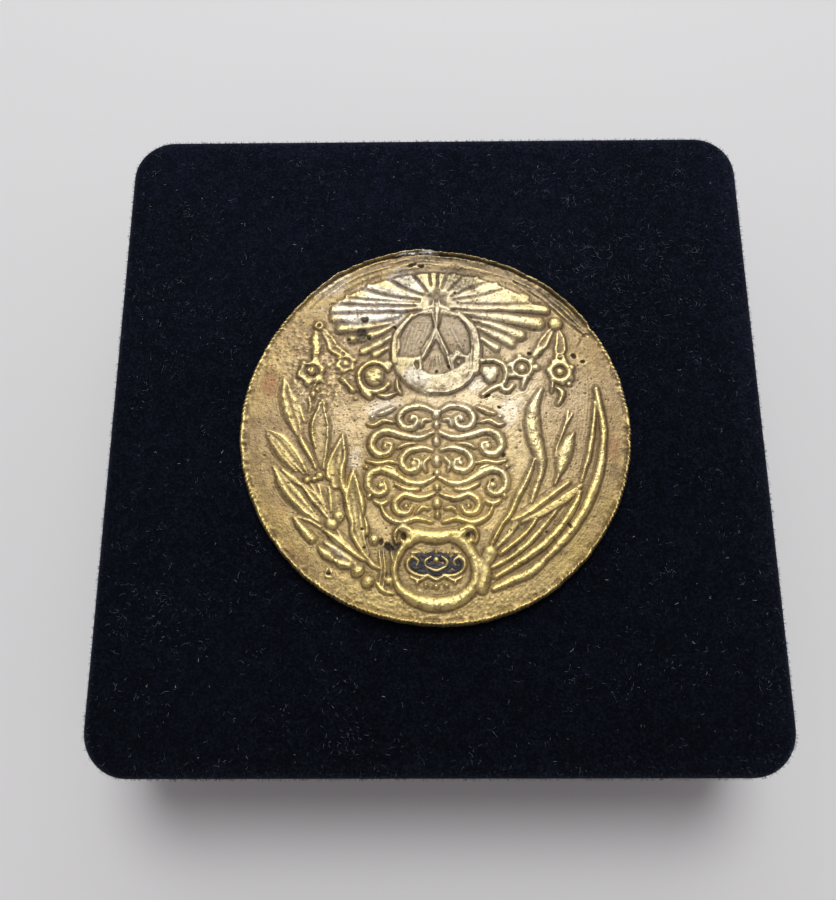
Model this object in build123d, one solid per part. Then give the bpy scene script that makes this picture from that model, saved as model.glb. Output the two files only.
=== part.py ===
"""Challenge coin on its velvet presentation case. Millimetres, +Z up.

The origin is the centre of the case's bottom face. The coin lies on the closed lid, the hinges are
at +Y and the case opens towards -Y.
"""
from build123d import *
from math import cos, radians, sin
import os

# ---- case: driving dimensions ----
CASE_SIDE = 87.4
CASE_HEIGHT = 22.0
CASE_CORNER = 5.8
LID_TOP_ROUND = 1.4
VELVET = 0.7
WALL = 1.8
BACK_WALL = 3.4
BASE_FLOOR = 1.6
LID_ROOF = 1.8
SPLIT_Z = 12.0
SPLIT_GAP = 0.3
SHEET = 0.5
TURN_IN = 6.0

# ---- insert and lid lining ----
INSERT_GAP = 0.7
BOARD = 1.0
FOAM_TOP = 9.3
SEAT_RADIUS = 25.7
SEAT_DEPTH = 3.0
THUMB_RADIUS = 7.0
THUMB_OFFSET = 24.0
LINER_GAP = 0.8
LINER_BOARD = 0.8
PAD_GAP = 1.2
PAD_THICKNESS = 1.8

# ---- hinges ----
AXIS_INSET = 1.2
CHANNEL_RADIUS = 1.85
KNUCKLE_RADIUS = 1.15
PIN_RADIUS = 0.55
RUNNING_CLEARANCE = 0.05
HINGE_LENGTH = 16.0
HINGE_CENTRE_X = 22.0
KNUCKLE_END = 2.4
KNUCKLE_MID = 2.2
KNUCKLE_GAP = 0.2
LEAF = 0.5
NOTCH_HALF = 1.1
LEAF_REACH = 6.5
ARM_LOW = 0.2
RIVET_RADIUS = 0.6
RIVET_HEAD_RADIUS = 1.1
RIVET_HEAD = 0.4
RIVET_SPACING = 9.0
RIVET_DROP = 4.2
SPRING_WIRE = 0.35
SPRING_MEAN_RADIUS = 0.85
SPRING_TURNS = 12

# ---- coin ----
COIN_RADIUS = 25.4
COIN_X = -0.12
COIN_Y = -0.4
COIN_LIFT = 0.05
FIELD = 1.9
RIM_INNER = 24.7
RIM_HEIGHT = 0.3
LOW_RELIEF = 0.3
MID_RELIEF = 0.5
HIGH_RELIEF = 0.7
RELIEF_ROOT = 0.1
FILL_THICKNESS = 0.12
SOLDER_WIDTH = 5.0
SOLDER_DEPTH = 1.5

INNER_HALF = CASE_SIDE / 2 - VELVET - WALL
INNER_BACK = CASE_SIDE / 2 - VELVET - BACK_WALL
HOLLOW_LENGTH = INNER_HALF + INNER_BACK
HOLLOW_Y = (INNER_BACK - INNER_HALF) / 2
HOLLOW_CORNER = CASE_CORNER - VELVET - WALL
SHELL_SIDE = CASE_SIDE - 2 * VELVET
AXIS_Y = CASE_SIDE / 2 - AXIS_INSET
BASE_TOP = SPLIT_Z - SPLIT_GAP / 2
LID_BOTTOM = SPLIT_Z + SPLIT_GAP / 2
SHELL_TOP = CASE_HEIGHT - VELVET
COIN_BOTTOM = CASE_HEIGHT + COIN_LIFT
FIELD_Z = COIN_BOTTOM + FIELD


def rounded_block(side, corner, low, high):
    """A square block with rounded upright corners."""
    plan = Plane.XY.offset(low) * RectangleRounded(side, side, corner)
    return extrude(plan, high - low)


def hollow_block(gap, low, high):
    """A block with the plan of the case's hollow, less a gap on every side."""
    plan = RectangleRounded(2 * (INNER_HALF - gap), HOLLOW_LENGTH - 2 * gap, HOLLOW_CORNER)
    return extrude(Plane.XY.offset(low) * Pos(0, HOLLOW_Y) * plan, high - low)


def box_between(low, high):
    """A box from its lowest corner to its highest corner."""
    size = [high[i] - low[i] for i in range(3)]
    centre = [(high[i] + low[i]) / 2 for i in range(3)]
    return Pos(*centre) * Box(*size)


def rod_x(radius, x_low, x_high, y=AXIS_Y, z=SPLIT_Z):
    """A round bar along X."""
    middle = Pos((x_low + x_high) / 2, y, z)
    return middle * Rot(0, 90, 0) * Cylinder(radius, x_high - x_low)


def rod_y(radius, x, y_low, y_high, z):
    """A round bar along Y."""
    return Pos(x, (y_low + y_high) / 2, z) * Rot(90, 0, 0) * Cylinder(radius, y_high - y_low)


def hinge_channel():
    """Round groove along the back edge, in which both knuckle rows turn."""
    return rod_x(CHANNEL_RADIUS, -CASE_SIDE, CASE_SIDE)


def hinge_notch(centre_x):
    """Gap in the back wall for the arms of one hinge."""
    half = HINGE_LENGTH / 2 + 0.3
    low = (centre_x - half, INNER_BACK - 1, SPLIT_Z - NOTCH_HALF)
    high = (centre_x + half, AXIS_Y, SPLIT_Z + NOTCH_HALF)
    return box_between(low, high)


def rivet_places(level):
    """Centres of the rivets at one height, two on each hinge."""
    places = []
    for centre_x in (-HINGE_CENTRE_X, HINGE_CENTRE_X):
        for side in (-1, 1):
            places.append((centre_x + side * RIVET_SPACING / 2, level))
    return places


def rivet(x, level):
    """Flush rivet through a leaf and the wall, with its head sunk in the wall's outer face."""
    outer = SHELL_SIDE / 2
    shank = rod_y(RIVET_RADIUS, x, INNER_BACK - LEAF, outer - RIVET_HEAD, level)
    head = rod_y(RIVET_HEAD_RADIUS, x, outer - RIVET_HEAD, outer, level)
    return shank + head


def rivet_row(level):
    """All rivets at one height, as separate solids."""
    return Compound([rivet(x, z).solid() for x, z in rivet_places(level)])


# ---- base ----
def base_shell():
    """Moulded tray of the base."""
    tray = rounded_block(SHELL_SIDE, CASE_CORNER - VELVET, SHEET, BASE_TOP)
    tray -= hollow_block(0, SHEET + BASE_FLOOR, BASE_TOP + 1)
    tray -= hinge_channel()
    for centre_x in (-HINGE_CENTRE_X, HINGE_CENTRE_X):
        tray -= hinge_notch(centre_x)
    for x, z in rivet_places(SPLIT_Z - RIVET_DROP):
        tray -= rivet(x, z)
    return tray


def base_velvet():
    """Velvet cover of the base walls, turned in under the floor."""
    cover = rounded_block(CASE_SIDE, CASE_CORNER, 0, BASE_TOP)
    cover -= rounded_block(SHELL_SIDE, CASE_CORNER - VELVET, SHEET, BASE_TOP + 1)
    cover -= rounded_block(SHELL_SIDE - 2 * TURN_IN, 1.5, -1, SHEET + 1)
    return cover - hinge_channel()


def base_sheet():
    """Card that covers the underside, inside the turned-in velvet."""
    return rounded_block(SHELL_SIDE - 2 * TURN_IN, 1.5, 0, SHEET)


def thumb_notches(radius, low, high):
    """The two scoops beside the seat that let a finger and thumb lift the coin."""
    scoops = []
    for side in (-1, 1):
        middle = Pos(side * THUMB_OFFSET, 0, (low + high) / 2)
        scoops.append(middle * Cylinder(radius, high - low))
    return scoops


def insert_board():
    """Card that carries the foam."""
    floor = SHEET + BASE_FLOOR
    return hollow_block(INSERT_GAP + VELVET, floor, floor + BOARD)


def insert_foam():
    """Foam block with the round seat for the coin."""
    low = SHEET + BASE_FLOOR + BOARD
    foam = hollow_block(INSERT_GAP + VELVET, low, FOAM_TOP)
    seat_floor = FOAM_TOP - SEAT_DEPTH
    foam -= Pos(0, 0, (seat_floor + FOAM_TOP + 1) / 2) * Cylinder(
        SEAT_RADIUS + VELVET, FOAM_TOP + 1 - seat_floor)
    for scoop in thumb_notches(THUMB_RADIUS + VELVET, seat_floor, FOAM_TOP + 1):
        foam -= scoop
    return foam


def insert_velvet():
    """Velvet over the foam, pressed down into the seat and round the foam's edge."""
    low = SHEET + BASE_FLOOR
    top = FOAM_TOP + VELVET
    cover = hollow_block(INSERT_GAP, low, top)
    cover -= hollow_block(INSERT_GAP + VELVET, low - 1, FOAM_TOP)
    seat_low = FOAM_TOP - SEAT_DEPTH
    cover += Pos(0, 0, (seat_low + top) / 2) * Cylinder(SEAT_RADIUS + VELVET, top - seat_low)
    for scoop in thumb_notches(THUMB_RADIUS + VELVET, seat_low, top):
        cover += scoop
    seat_floor = seat_low + VELVET
    cover -= Pos(0, 0, (seat_floor + top + 1) / 2) * Cylinder(SEAT_RADIUS, top + 1 - seat_floor)
    for scoop in thumb_notches(THUMB_RADIUS, seat_floor, top + 1):
        cover -= scoop
    return cover


# ---- lid ----
def lid_shell():
    """Moulded cover of the lid, open downwards."""
    cover = rounded_block(SHELL_SIDE, CASE_CORNER - VELVET, LID_BOTTOM, SHELL_TOP)
    cover = fillet(cover.faces().sort_by(Axis.Z)[-1].edges(), LID_TOP_ROUND - VELVET)
    cover -= hollow_block(0, LID_BOTTOM - 1, SHELL_TOP - LID_ROOF)
    cover -= hinge_channel()
    for centre_x in (-HINGE_CENTRE_X, HINGE_CENTRE_X):
        cover -= hinge_notch(centre_x)
    for x, z in rivet_places(SPLIT_Z + RIVET_DROP):
        cover -= rivet(x, z)
    return cover


def lid_velvet():
    """Velvet cover of the lid's top and walls, with a soft rounded top edge."""
    cover = rounded_block(CASE_SIDE, CASE_CORNER, LID_BOTTOM, CASE_HEIGHT)
    cover = fillet(cover.faces().sort_by(Axis.Z)[-1].edges(), LID_TOP_ROUND)
    core = rounded_block(SHELL_SIDE, CASE_CORNER - VELVET, LID_BOTTOM, SHELL_TOP)
    core = fillet(core.faces().sort_by(Axis.Z)[-1].edges(), LID_TOP_ROUND - VELVET)
    cover -= core
    return cover - hinge_channel()


def lid_liner_board():
    """Card under the lid's roof that carries the pad."""
    roof = SHELL_TOP - LID_ROOF
    return hollow_block(LINER_GAP, roof - LINER_BOARD, roof)


def lid_liner_pad():
    """Thin satin pad that faces the coin when the case is shut."""
    top = SHELL_TOP - LID_ROOF - LINER_BOARD
    return hollow_block(PAD_GAP, top - PAD_THICKNESS, top)


# ---- hinges ----
def knuckle_spans(centre_x):
    """X spans of the outer pair, the inner pair and the spring of one hinge."""
    start = centre_x - HINGE_LENGTH / 2
    end = centre_x + HINGE_LENGTH / 2
    outer = [(start, start + KNUCKLE_END), (end - KNUCKLE_END, end)]
    step = KNUCKLE_END + KNUCKLE_GAP
    inner = [(start + step, start + step + KNUCKLE_MID), (end - step - KNUCKLE_MID, end - step)]
    spring = (inner[0][1] + KNUCKLE_GAP, inner[1][0] - KNUCKLE_GAP)
    return outer, inner, spring


def leaf(centre_x, spans, direction, bore):
    """Pressed steel leaf: a plate on the wall, with an arm and a knuckle for each span."""
    half = HINGE_LENGTH / 2
    plate_back = INNER_BACK
    near = SPLIT_Z + direction * ARM_LOW
    far = SPLIT_Z + direction * (ARM_LOW + LEAF_REACH)
    low = (centre_x - half, plate_back - LEAF, min(near, far))
    high = (centre_x + half, plate_back, max(near, far))
    body = box_between(low, high)
    arm_far = SPLIT_Z + direction * (ARM_LOW + LEAF)
    for x_low, x_high in spans:
        arm_low = (x_low, plate_back - LEAF, min(near, arm_far))
        arm_high = (x_high, AXIS_Y - PIN_RADIUS - 0.2, max(near, arm_far))
        body += box_between(arm_low, arm_high)
        body += rod_x(KNUCKLE_RADIUS, x_low, x_high)
    body -= rod_x(bore, centre_x - HINGE_LENGTH, centre_x + HINGE_LENGTH)
    level = SPLIT_Z + direction * RIVET_DROP
    for side in (-1, 1):
        x = centre_x + side * RIVET_SPACING / 2
        body -= rod_y(RIVET_RADIUS, x, plate_back - 2 * LEAF, plate_back + LEAF, level)
    return body


def hinge_pin(centre_x):
    """Steel pin, held in the base leaf's knuckles and free in the lid leaf's."""
    return rod_x(PIN_RADIUS, centre_x - HINGE_LENGTH / 2, centre_x + HINGE_LENGTH / 2)


def hinge_spring(centre_x):
    """Closed torsion coil on the pin, between the two inner knuckles."""
    _, _, span = knuckle_spans(centre_x)
    length = span[1] - span[0] - SPRING_WIRE
    start_x = span[0] + SPRING_WIRE / 2
    place = Location((start_x, AXIS_Y, SPLIT_Z), (0, 90, 0))
    path = Helix(length / SPRING_TURNS, length, SPRING_MEAN_RADIUS)
    section = Plane(origin=path @ 0, z_dir=path % 0) * Circle(SPRING_WIRE / 2)
    return place * sweep(section, path=path, is_frenet=True)


# ---- coin ----
def on_coin(sketch, height):
    """A raised part of the coin's face, from just under the field up to a height over it."""
    moved = Pos(COIN_X, COIN_Y, FIELD_Z - RELIEF_ROOT) * sketch
    return extrude(moved, height + RELIEF_ROOT)


def leaf_shape(base, tip, width):
    """Pointed leaf between two arcs."""
    start = Vector(*base)
    end = Vector(*tip)
    along = end - start
    across = Vector(-along.Y, along.X).normalized() * (width / 2)
    middle = (start + end) * 0.5
    sides = [ThreePointArc(start, middle + across, end), ThreePointArc(end, middle - across, start)]
    return make_face(sides)


def ring_shape(centre, outer, inner):
    """Flat ring."""
    return Pos(*centre) * (Circle(outer) - Circle(inner))


def strip(points, width):
    """Round-ended band that follows a smooth line."""
    return trace(Spline(*points), width)


def ray_shape(angle, length):
    """One wedge of the sunburst, widening outwards."""
    half = 2.6
    tip = (1.2 * cos(radians(angle)), 1.2 * sin(radians(angle)))
    left = (length * cos(radians(angle + half)), length * sin(radians(angle + half)))
    right = (length * cos(radians(angle - half)), length * sin(radians(angle - half)))
    return make_face(Polyline(tip, left, right, close=True))


def sunburst():
    """Rays from a point near the coin's top, cut to a circle inside the rim."""
    rays = Sketch()
    for index in range(25):
        rays += Pos(0.5, 18.7) * ray_shape(-42 + index * 264 / 24, 17.0)
    inside = Circle(22.4) - Pos(0.3, 10.8) * Circle(6.6) - Pos(0, -4) * Rectangle(50, 28)
    return rays & inside


def crescent():
    """Thick ring that thins upwards, around a pointed arch."""
    ring = Pos(0.3, 10.8) * Circle(6.1) - Pos(0.1, 11.9) * Circle(4.8)
    arch = strip([(-1.5, 8.0), (-0.9, 11.5), (0.3, 14.4)], 0.6)
    arch += strip([(2.0, 8.2), (1.4, 11.5), (0.3, 14.4)], 0.6)
    return ring + arch


def rosette(centre, radius, petals):
    """Ring of round petals about a boss."""
    flower = Pos(*centre) * Circle(radius * 0.4)
    for index in range(petals):
        turn = radians(360 * index / petals)
        place = (centre[0] + radius * 0.65 * cos(turn), centre[1] + radius * 0.65 * sin(turn))
        flower += Pos(*place) * Circle(radius * 0.34)
    return flower


def garlands():
    """Rings, rosettes and beads that hang on both sides of the crescent."""
    parts = ring_shape((-7.8, 7.1), 2.5, 1.9) + Pos(-7.8, 7.1) * Circle(1.3)
    parts += ring_shape((7.3, 7.7), 2.3, 1.8) + Pos(7.3, 7.7) * Circle(1.2)
    parts += rosette((16.7, 7.8), 1.8, 6) + rosette((11.8, 8.4), 1.5, 6)
    parts += rosette((-16.4, 8.0), 1.7, 6) + rosette((-11.8, 9.3), 1.3, 6)
    parts += Pos(16.4, 14.6) * Circle(0.7) + Pos(-15.4, 14.8) * Circle(0.7)
    return parts


def left_branch():
    """Laurel branch: pointed leaves and berries."""
    leaves = [
        ((-18.0, -0.3), (-20.2, 7.0), 1.6), ((-15.0, -5.0), (-14.9, 3.9), 1.7),
        ((-17.0, -6.0), (-22.2, -0.2), 1.5), ((-12.2, -8.0), (-12.6, -0.6), 1.8),
        ((-10.6, -13.0), (-10.4, -5.6), 1.6), ((-15.0, -11.0), (-21.0, -5.0), 1.6),
        ((-14.0, -15.0), (-18.6, -11.4), 1.5),
    ]
    branch = Sketch()
    for base, tip, width in leaves:
        branch += leaf_shape(base, tip, width)
    for berry in ((-16.6, -6.8), (-13.5, -6.4), (-12.6, -12.0), (-7.7, -14.5)):
        branch += Pos(*berry) * Circle(0.6)
    for bead in ((-14.0, -16.2), (-12.0, -17.4), (-10.0, -18.4), (-8.4, -19.8)):
        branch += Pos(*bead) * Circle(0.8)
    branch += strip([(-6.4, -18.0), (-10.5, -14.0), (-15.6, -8.0)], 0.6)
    return branch


def right_branch():
    """Palm branch: long curved blades and an ear of grain."""
    branch = strip([(13.6, 5.4), (12.9, 0.0), (13.5, -5.0), (12.3, -10.0)], 1.3)
    branch += strip([(21.6, 5.3), (21.6, -4.0), (17.5, -13.0), (8.4, -20.2)], 1.0)
    branch += strip([(21.0, 0.5), (19.2, -7.0), (14.0, -14.6), (7.6, -19.0)], 0.8)
    branch += strip([(12.8, -4.5), (10.5, -9.6), (7.0, -15.4)], 0.6)
    branch += leaf_shape((16.3, -7.2), (17.9, -0.6), 1.7)
    branch += leaf_shape((9.3, -12.3), (18.6, -7.7), 1.9)
    return branch


def cartouche():
    """Oval frame with a scrolled top bar and a strap on each side."""
    frame = Pos(0, -18.2) * (Ellipse(5.9, 4.6) - Ellipse(4.6, 3.3))
    frame += strip([(-3.6, -13.9), (0, -14.3), (3.7, -13.9)], 1.2)
    for side in (-1, 1):
        frame += ring_shape((side * 4.4, -14.3), 1.3, 0.6)
        frame += strip([(side * 6.6, -16.2), (side * 6.0, -18.2), (side * 5.4, -20.8)], 1.4)
    return frame


def scrollwork():
    """Panel of plain curling tendrils in the middle of the face."""
    panel = Sketch()
    for row, (y, half) in enumerate(((0.6, 6.0), (-4.6, 7.0), (-9.8, 6.0))):
        sign = 1 if row % 2 == 0 else -1
        wave = [(-half, y), (-half / 2, y + 1.6 * sign), (0, y), (half / 2, y - 1.6 * sign), (half, y)]
        panel += strip(wave, 0.7)
        for side in (-1, 1):
            panel += ring_shape((side * half / 2, y - 0.8 * sign * side), 1.4, 0.8)
    return panel


def solder_shape():
    """Plan of the solder lump on the top edge, left by a hanging loop that came off."""
    lump = Pos(COIN_X - 2.6, COIN_Y + 25.0) * Rectangle(SOLDER_WIDTH, SOLDER_DEPTH)
    return lump


def coin():
    """Struck brass disc: raised rim, field and relief."""
    disc = Pos(COIN_X, COIN_Y, COIN_BOTTOM + FIELD / 2) * Cylinder(COIN_RADIUS, FIELD)
    disc = chamfer(disc.faces().sort_by(Axis.Z)[0].edges(), 0.2)
    disc += on_coin(Circle(COIN_RADIUS) - Circle(RIM_INNER), RIM_HEIGHT)
    disc += on_coin(sunburst(), LOW_RELIEF)
    disc += on_coin(scrollwork(), MID_RELIEF)
    disc += on_coin(garlands(), MID_RELIEF)
    disc += on_coin(left_branch() + right_branch(), MID_RELIEF)
    disc += on_coin(crescent(), HIGH_RELIEF)
    disc += on_coin(cartouche(), HIGH_RELIEF)
    return disc - edge_solder()


def edge_solder():
    """Solder left on the top edge, flush with the rim."""
    low = COIN_BOTTOM + FIELD / 2
    lump = Plane.XY.offset(low) * solder_shape()
    block = extrude(lump, FIELD_Z + RIM_HEIGHT - low)
    reach = Pos(COIN_X, COIN_Y, COIN_BOTTOM + FIELD) * Cylinder(COIN_RADIUS + 0.3, 2 * FIELD)
    return block & reach


def cartouche_fill():
    """Black paint that fills the oval."""
    plan = Pos(COIN_X, COIN_Y - 18.2, FIELD_Z) * Ellipse(4.6, 3.3)
    return extrude(plan, FILL_THICKNESS)


def build_nodes():
    """Every node of the object, by name."""
    nodes = {
        "coin": coin(),
        "edge_solder": edge_solder(),
        "cartouche_fill": cartouche_fill(),
        "base_shell": base_shell(),
        "base_velvet": base_velvet(),
        "base_sheet": base_sheet(),
        "insert_board": insert_board(),
        "insert_foam": insert_foam(),
        "insert_velvet": insert_velvet(),
        "lid_shell": lid_shell(),
        "lid_velvet": lid_velvet(),
        "lid_liner_board": lid_liner_board(),
        "lid_liner_pad": lid_liner_pad(),
        "base_rivets": rivet_row(SPLIT_Z - RIVET_DROP),
        "lid_rivets": rivet_row(SPLIT_Z + RIVET_DROP),
    }
    for side, centre_x in (("left", -HINGE_CENTRE_X), ("right", HINGE_CENTRE_X)):
        outer, inner, _ = knuckle_spans(centre_x)
        nodes["hinge_base_leaf_" + side] = leaf(centre_x, outer, -1, PIN_RADIUS)
        nodes["hinge_lid_leaf_" + side] = leaf(centre_x, inner, 1, PIN_RADIUS + RUNNING_CLEARANCE)
        nodes["hinge_pin_" + side] = hinge_pin(centre_x)
        nodes["hinge_spring_" + side] = hinge_spring(centre_x)
    return nodes


os.makedirs("parts", exist_ok=True)
for name, shape in build_nodes().items():
    export_step(shape, f"parts/{name}.step")
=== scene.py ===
"""Looks of the challenge coin on its velvet presentation case. Lengths here are millimetres until
a mesh is made, and metres after that."""
import math

import bpy
import numpy as np
from mathutils import Matrix, Vector


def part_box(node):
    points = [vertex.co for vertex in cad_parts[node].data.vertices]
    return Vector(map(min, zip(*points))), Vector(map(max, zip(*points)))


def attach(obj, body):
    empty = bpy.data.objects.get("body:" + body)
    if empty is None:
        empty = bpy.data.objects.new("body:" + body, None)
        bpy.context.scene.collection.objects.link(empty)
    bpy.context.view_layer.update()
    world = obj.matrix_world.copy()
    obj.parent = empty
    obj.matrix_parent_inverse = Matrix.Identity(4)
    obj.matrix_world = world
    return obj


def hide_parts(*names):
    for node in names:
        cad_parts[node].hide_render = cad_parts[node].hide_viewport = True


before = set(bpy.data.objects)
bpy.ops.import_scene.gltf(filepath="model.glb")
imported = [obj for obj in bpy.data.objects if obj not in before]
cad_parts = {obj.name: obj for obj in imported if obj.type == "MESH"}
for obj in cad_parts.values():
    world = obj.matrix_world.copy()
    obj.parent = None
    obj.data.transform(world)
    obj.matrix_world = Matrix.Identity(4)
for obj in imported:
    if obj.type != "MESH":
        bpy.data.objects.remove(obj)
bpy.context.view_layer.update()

MM = 0.001


def detail(quick, full):
    """A number for the real run; the number for a quick trial is not used."""
    return full


def node_box(node):
    """Lowest and highest corner of a CAD node, in millimetres."""
    low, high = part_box(node)
    return np.array(low) / MM, np.array(high) / MM


# ---- places worked out from the frame ----
LID_LOW, LID_HIGH = node_box("lid_velvet")
_, BASE_HIGH = node_box("base_velvet")
_, SHELL_HIGH = node_box("lid_shell")
_, SHEET_HIGH = node_box("base_sheet")
COIN_LOW, COIN_HIGH = node_box("coin")
INSERT_LOW, INSERT_HIGH = node_box("insert_velvet")
FOAM_LOW, FOAM_HIGH = node_box("insert_foam")
PAD_LOW, PAD_HIGH = node_box("lid_liner_pad")
PIN_LOW, PIN_HIGH = node_box("hinge_pin_left")

CASE_HALF = (LID_HIGH[0] - LID_LOW[0]) / 2
CASE_TOP = LID_HIGH[2]
SKIN = LID_HIGH[2] - SHELL_HIGH[2]
LID_BOTTOM = LID_LOW[2]
BASE_TOP = BASE_HIGH[2]
COIN_X = (COIN_LOW[0] + COIN_HIGH[0]) / 2
COIN_Y = (COIN_LOW[1] + COIN_HIGH[1]) / 2
COIN_RADIUS = (COIN_HIGH[0] - COIN_LOW[0]) / 2
AXIS_Y = (PIN_LOW[1] + PIN_HIGH[1]) / 2
AXIS_Z = (PIN_LOW[2] + PIN_HIGH[2]) / 2

# ---- the case: corners, the pile's unevenness, the channel for the hinge, the coin's seat ----
CASE_CORNER = 5.8
LID_TOP_ROUND = 1.4
PILE_ROOM = 0.03
PILE_RISE = 0.028
CHANNEL_RADIUS = 1.85
SEAT_RADIUS = 25.7
SEAT_DEPTH = 3.0
THUMB_RADIUS = 7.0
THUMB_OFFSET = 24.0

# ---- fibres: rings of each, and how thick they are in turn ----
FIBRE_STEPS = 7
FIBRE_TAPER = [0.35, 1, 1, 1, 1, 0.9, 0.3]

# ---- the coin: height of its field, rim and millimetres of rim to a degree, wear, the work's place ----
FIELD = 1.9
RIM_RADIUS = 25.4
RIM_MM = 0.44
EDGE_WEAR = 0.13
TEETH = 270
PIT_DEPTH = 0.13
SCRATCH_DEPTH = 0.028
WORK_SHIFT = (0.06, 0.35)
WORK_SCALE = (0.99, 0.984)
PIT_REACH_SQUARED = 560
CELL_SHARE = 1.77

# ---- what lies on the coin: the solder's arc, and the paint's place, half size and lower side ----
SOLDER_START = 88.0
SOLDER_SWEEP = 14.5
PAINT_Y = -18.1
PAINT_HALF = (4.3, 2.7)
PAINT_BOTTOM = -0.30

# ---- noise: cells before it repeats, and where its origin is ----
NOISE_CELLS = 256
NOISE_SHIFT = 1000.0

# ---- camera, measured against the case's top, and light ----
CAMERA_OFFSET = (-1.68, -23.7, 92.05)
CAMERA_ELEVATION = 77.39
CAMERA_AZIMUTH = -1.99
CAMERA_ROLL = -2.23
LENS = 28.6
SENSOR = 36.0
DAYLIGHT = (0.985, 1.0, 0.995)
SURROUNDINGS = (1.0, 0.925, 0.965, 1.0)
SURROUND_STRENGTH = 0.265
FLOOR_HALF = 6000.0


# ---- Mesh helpers ----
def mesh_piece(name, verts_mm, faces, smooth=True):
    """A mesh object from millimetre vertices and an array or list of faces."""
    mesh = bpy.data.meshes.new(name)
    mesh.from_pydata((np.asarray(verts_mm) * MM).tolist(), [], [tuple(f) for f in faces])
    mesh.validate()
    if smooth:
        mesh.polygons.foreach_set("use_smooth", [True] * len(mesh.polygons))
    mesh.update()
    piece = bpy.data.objects.new(name, mesh)
    bpy.context.scene.collection.objects.link(piece)
    return piece


def quad_mesh(name, verts_mm, quads):
    """A mesh object from vertex and quad arrays, written in bulk."""
    verts = np.asarray(verts_mm, dtype=np.float32) * MM
    quads = np.asarray(quads, dtype=np.int32)
    mesh = bpy.data.meshes.new(name)
    mesh.vertices.add(len(verts))
    mesh.vertices.foreach_set("co", verts.ravel())
    mesh.loops.add(quads.size)
    mesh.loops.foreach_set("vertex_index", quads.ravel())
    mesh.polygons.add(len(quads))
    mesh.polygons.foreach_set("loop_start", np.arange(0, quads.size, 4, dtype=np.int32))
    mesh.polygons.foreach_set("use_smooth", np.ones(len(quads), dtype=bool))
    mesh.update(calc_edges=True)
    piece = bpy.data.objects.new(name, mesh)
    bpy.context.scene.collection.objects.link(piece)
    return piece


def grid_quads(rows, columns, wrap=False, start=0):
    """Quads of a grid of rows x columns vertices; wrap joins the last column to the first."""
    row = np.arange(rows - 1)[:, None]
    column = np.arange(columns if wrap else columns - 1)[None, :]
    following = (column + 1) % columns
    a = start + row * columns + column
    b = start + row * columns + following
    c = start + (row + 1) * columns + following
    d = start + (row + 1) * columns + column
    return np.stack([a, b, c, d], axis=-1).reshape(-1, 4)


def grid_border(count):
    """Vertex numbers round the border of a square grid."""
    ids = np.arange(count * count).reshape(count, count)
    return np.concatenate([ids[0, :-1], ids[:-1, -1], ids[-1, :0:-1], ids[:0:-1, 0]])


def set_attribute(piece, name, values):
    """A float for each vertex, for the material to read."""
    layer = piece.data.attributes.new(name, "FLOAT", "POINT")
    layer.data.foreach_set("value", np.asarray(values, dtype=np.float32))


def smoothstep(low, high, value):
    """0 to 1 between two values, easing in and out."""
    t = np.clip((value - low) / (high - low), 0.0, 1.0)
    return t * t * (3 - 2 * t)


def sector(degrees, start, full, fade, end):
    """1 over a range of angles, with soft ends."""
    return smoothstep(start, full, degrees) * (1 - smoothstep(fade, end, degrees))


def oval_distance(x, y, centre, stretch, turn):
    """Distance from a centre, made shorter along an axis turned by some degrees."""
    c = math.cos(math.radians(turn))
    s = math.sin(math.radians(turn))
    dx = x - centre[0]
    dy = y - centre[1]
    return np.hypot((c * dx + s * dy) / stretch, c * dy - s * dx)


def unit(vectors):
    """Rows made one long."""
    return vectors / np.linalg.norm(vectors, axis=1)[:, None]


def circle(centre, radius_x, radius_y, degrees):
    """Points of a circle or oval at the given angles."""
    angles = [math.radians(k) for k in degrees]
    return [(centre[0] + radius_x * math.cos(a), centre[1] + radius_y * math.sin(a)) for a in angles]


def blur(grid, sigma):
    """Gaussian blur of a grid, sigma in cells."""
    reach = max(1, int(3 * sigma))
    kernel = np.exp(-0.5 * (np.arange(-reach, reach + 1) / sigma) ** 2)
    kernel /= kernel.sum()
    out = np.pad(grid, reach, mode="edge")
    out = np.apply_along_axis(lambda line: np.convolve(line, kernel, mode="valid"), 0, out)
    return np.apply_along_axis(lambda line: np.convolve(line, kernel, mode="valid"), 1, out)


def value_noise(x, y, size, seed):
    """Smooth noise between -1 and 1 with features of the given size in mm."""
    rng = np.random.default_rng(seed)
    table = rng.uniform(-1, 1, (NOISE_CELLS, NOISE_CELLS))
    u = x / size + NOISE_SHIFT
    v = y / size + NOISE_SHIFT
    i = np.floor(u).astype(int)
    j = np.floor(v).astype(int)
    fu = u - i
    fv = v - j
    fu = fu * fu * (3 - 2 * fu)
    fv = fv * fv * (3 - 2 * fv)
    next_i = (i + 1) % NOISE_CELLS
    next_j = (j + 1) % NOISE_CELLS
    i = i % NOISE_CELLS
    j = j % NOISE_CELLS
    a = table[i, j]
    b = table[next_i, j]
    c = table[i, next_j]
    d = table[next_i, next_j]
    return (a * (1 - fu) + b * fu) * (1 - fv) + (c * (1 - fu) + d * fu) * fv


def layered_noise(x, y, size, seed, layers=4):
    """Sum of smooth noises, each half the size and strength of the one before."""
    total = 0.0
    weight = 1.0
    for layer in range(layers):
        total = total + weight * value_noise(x, y, size / 2 ** layer, seed + 17 * layer)
        weight *= 0.5
    return total / (2 - 2 * weight)


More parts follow.
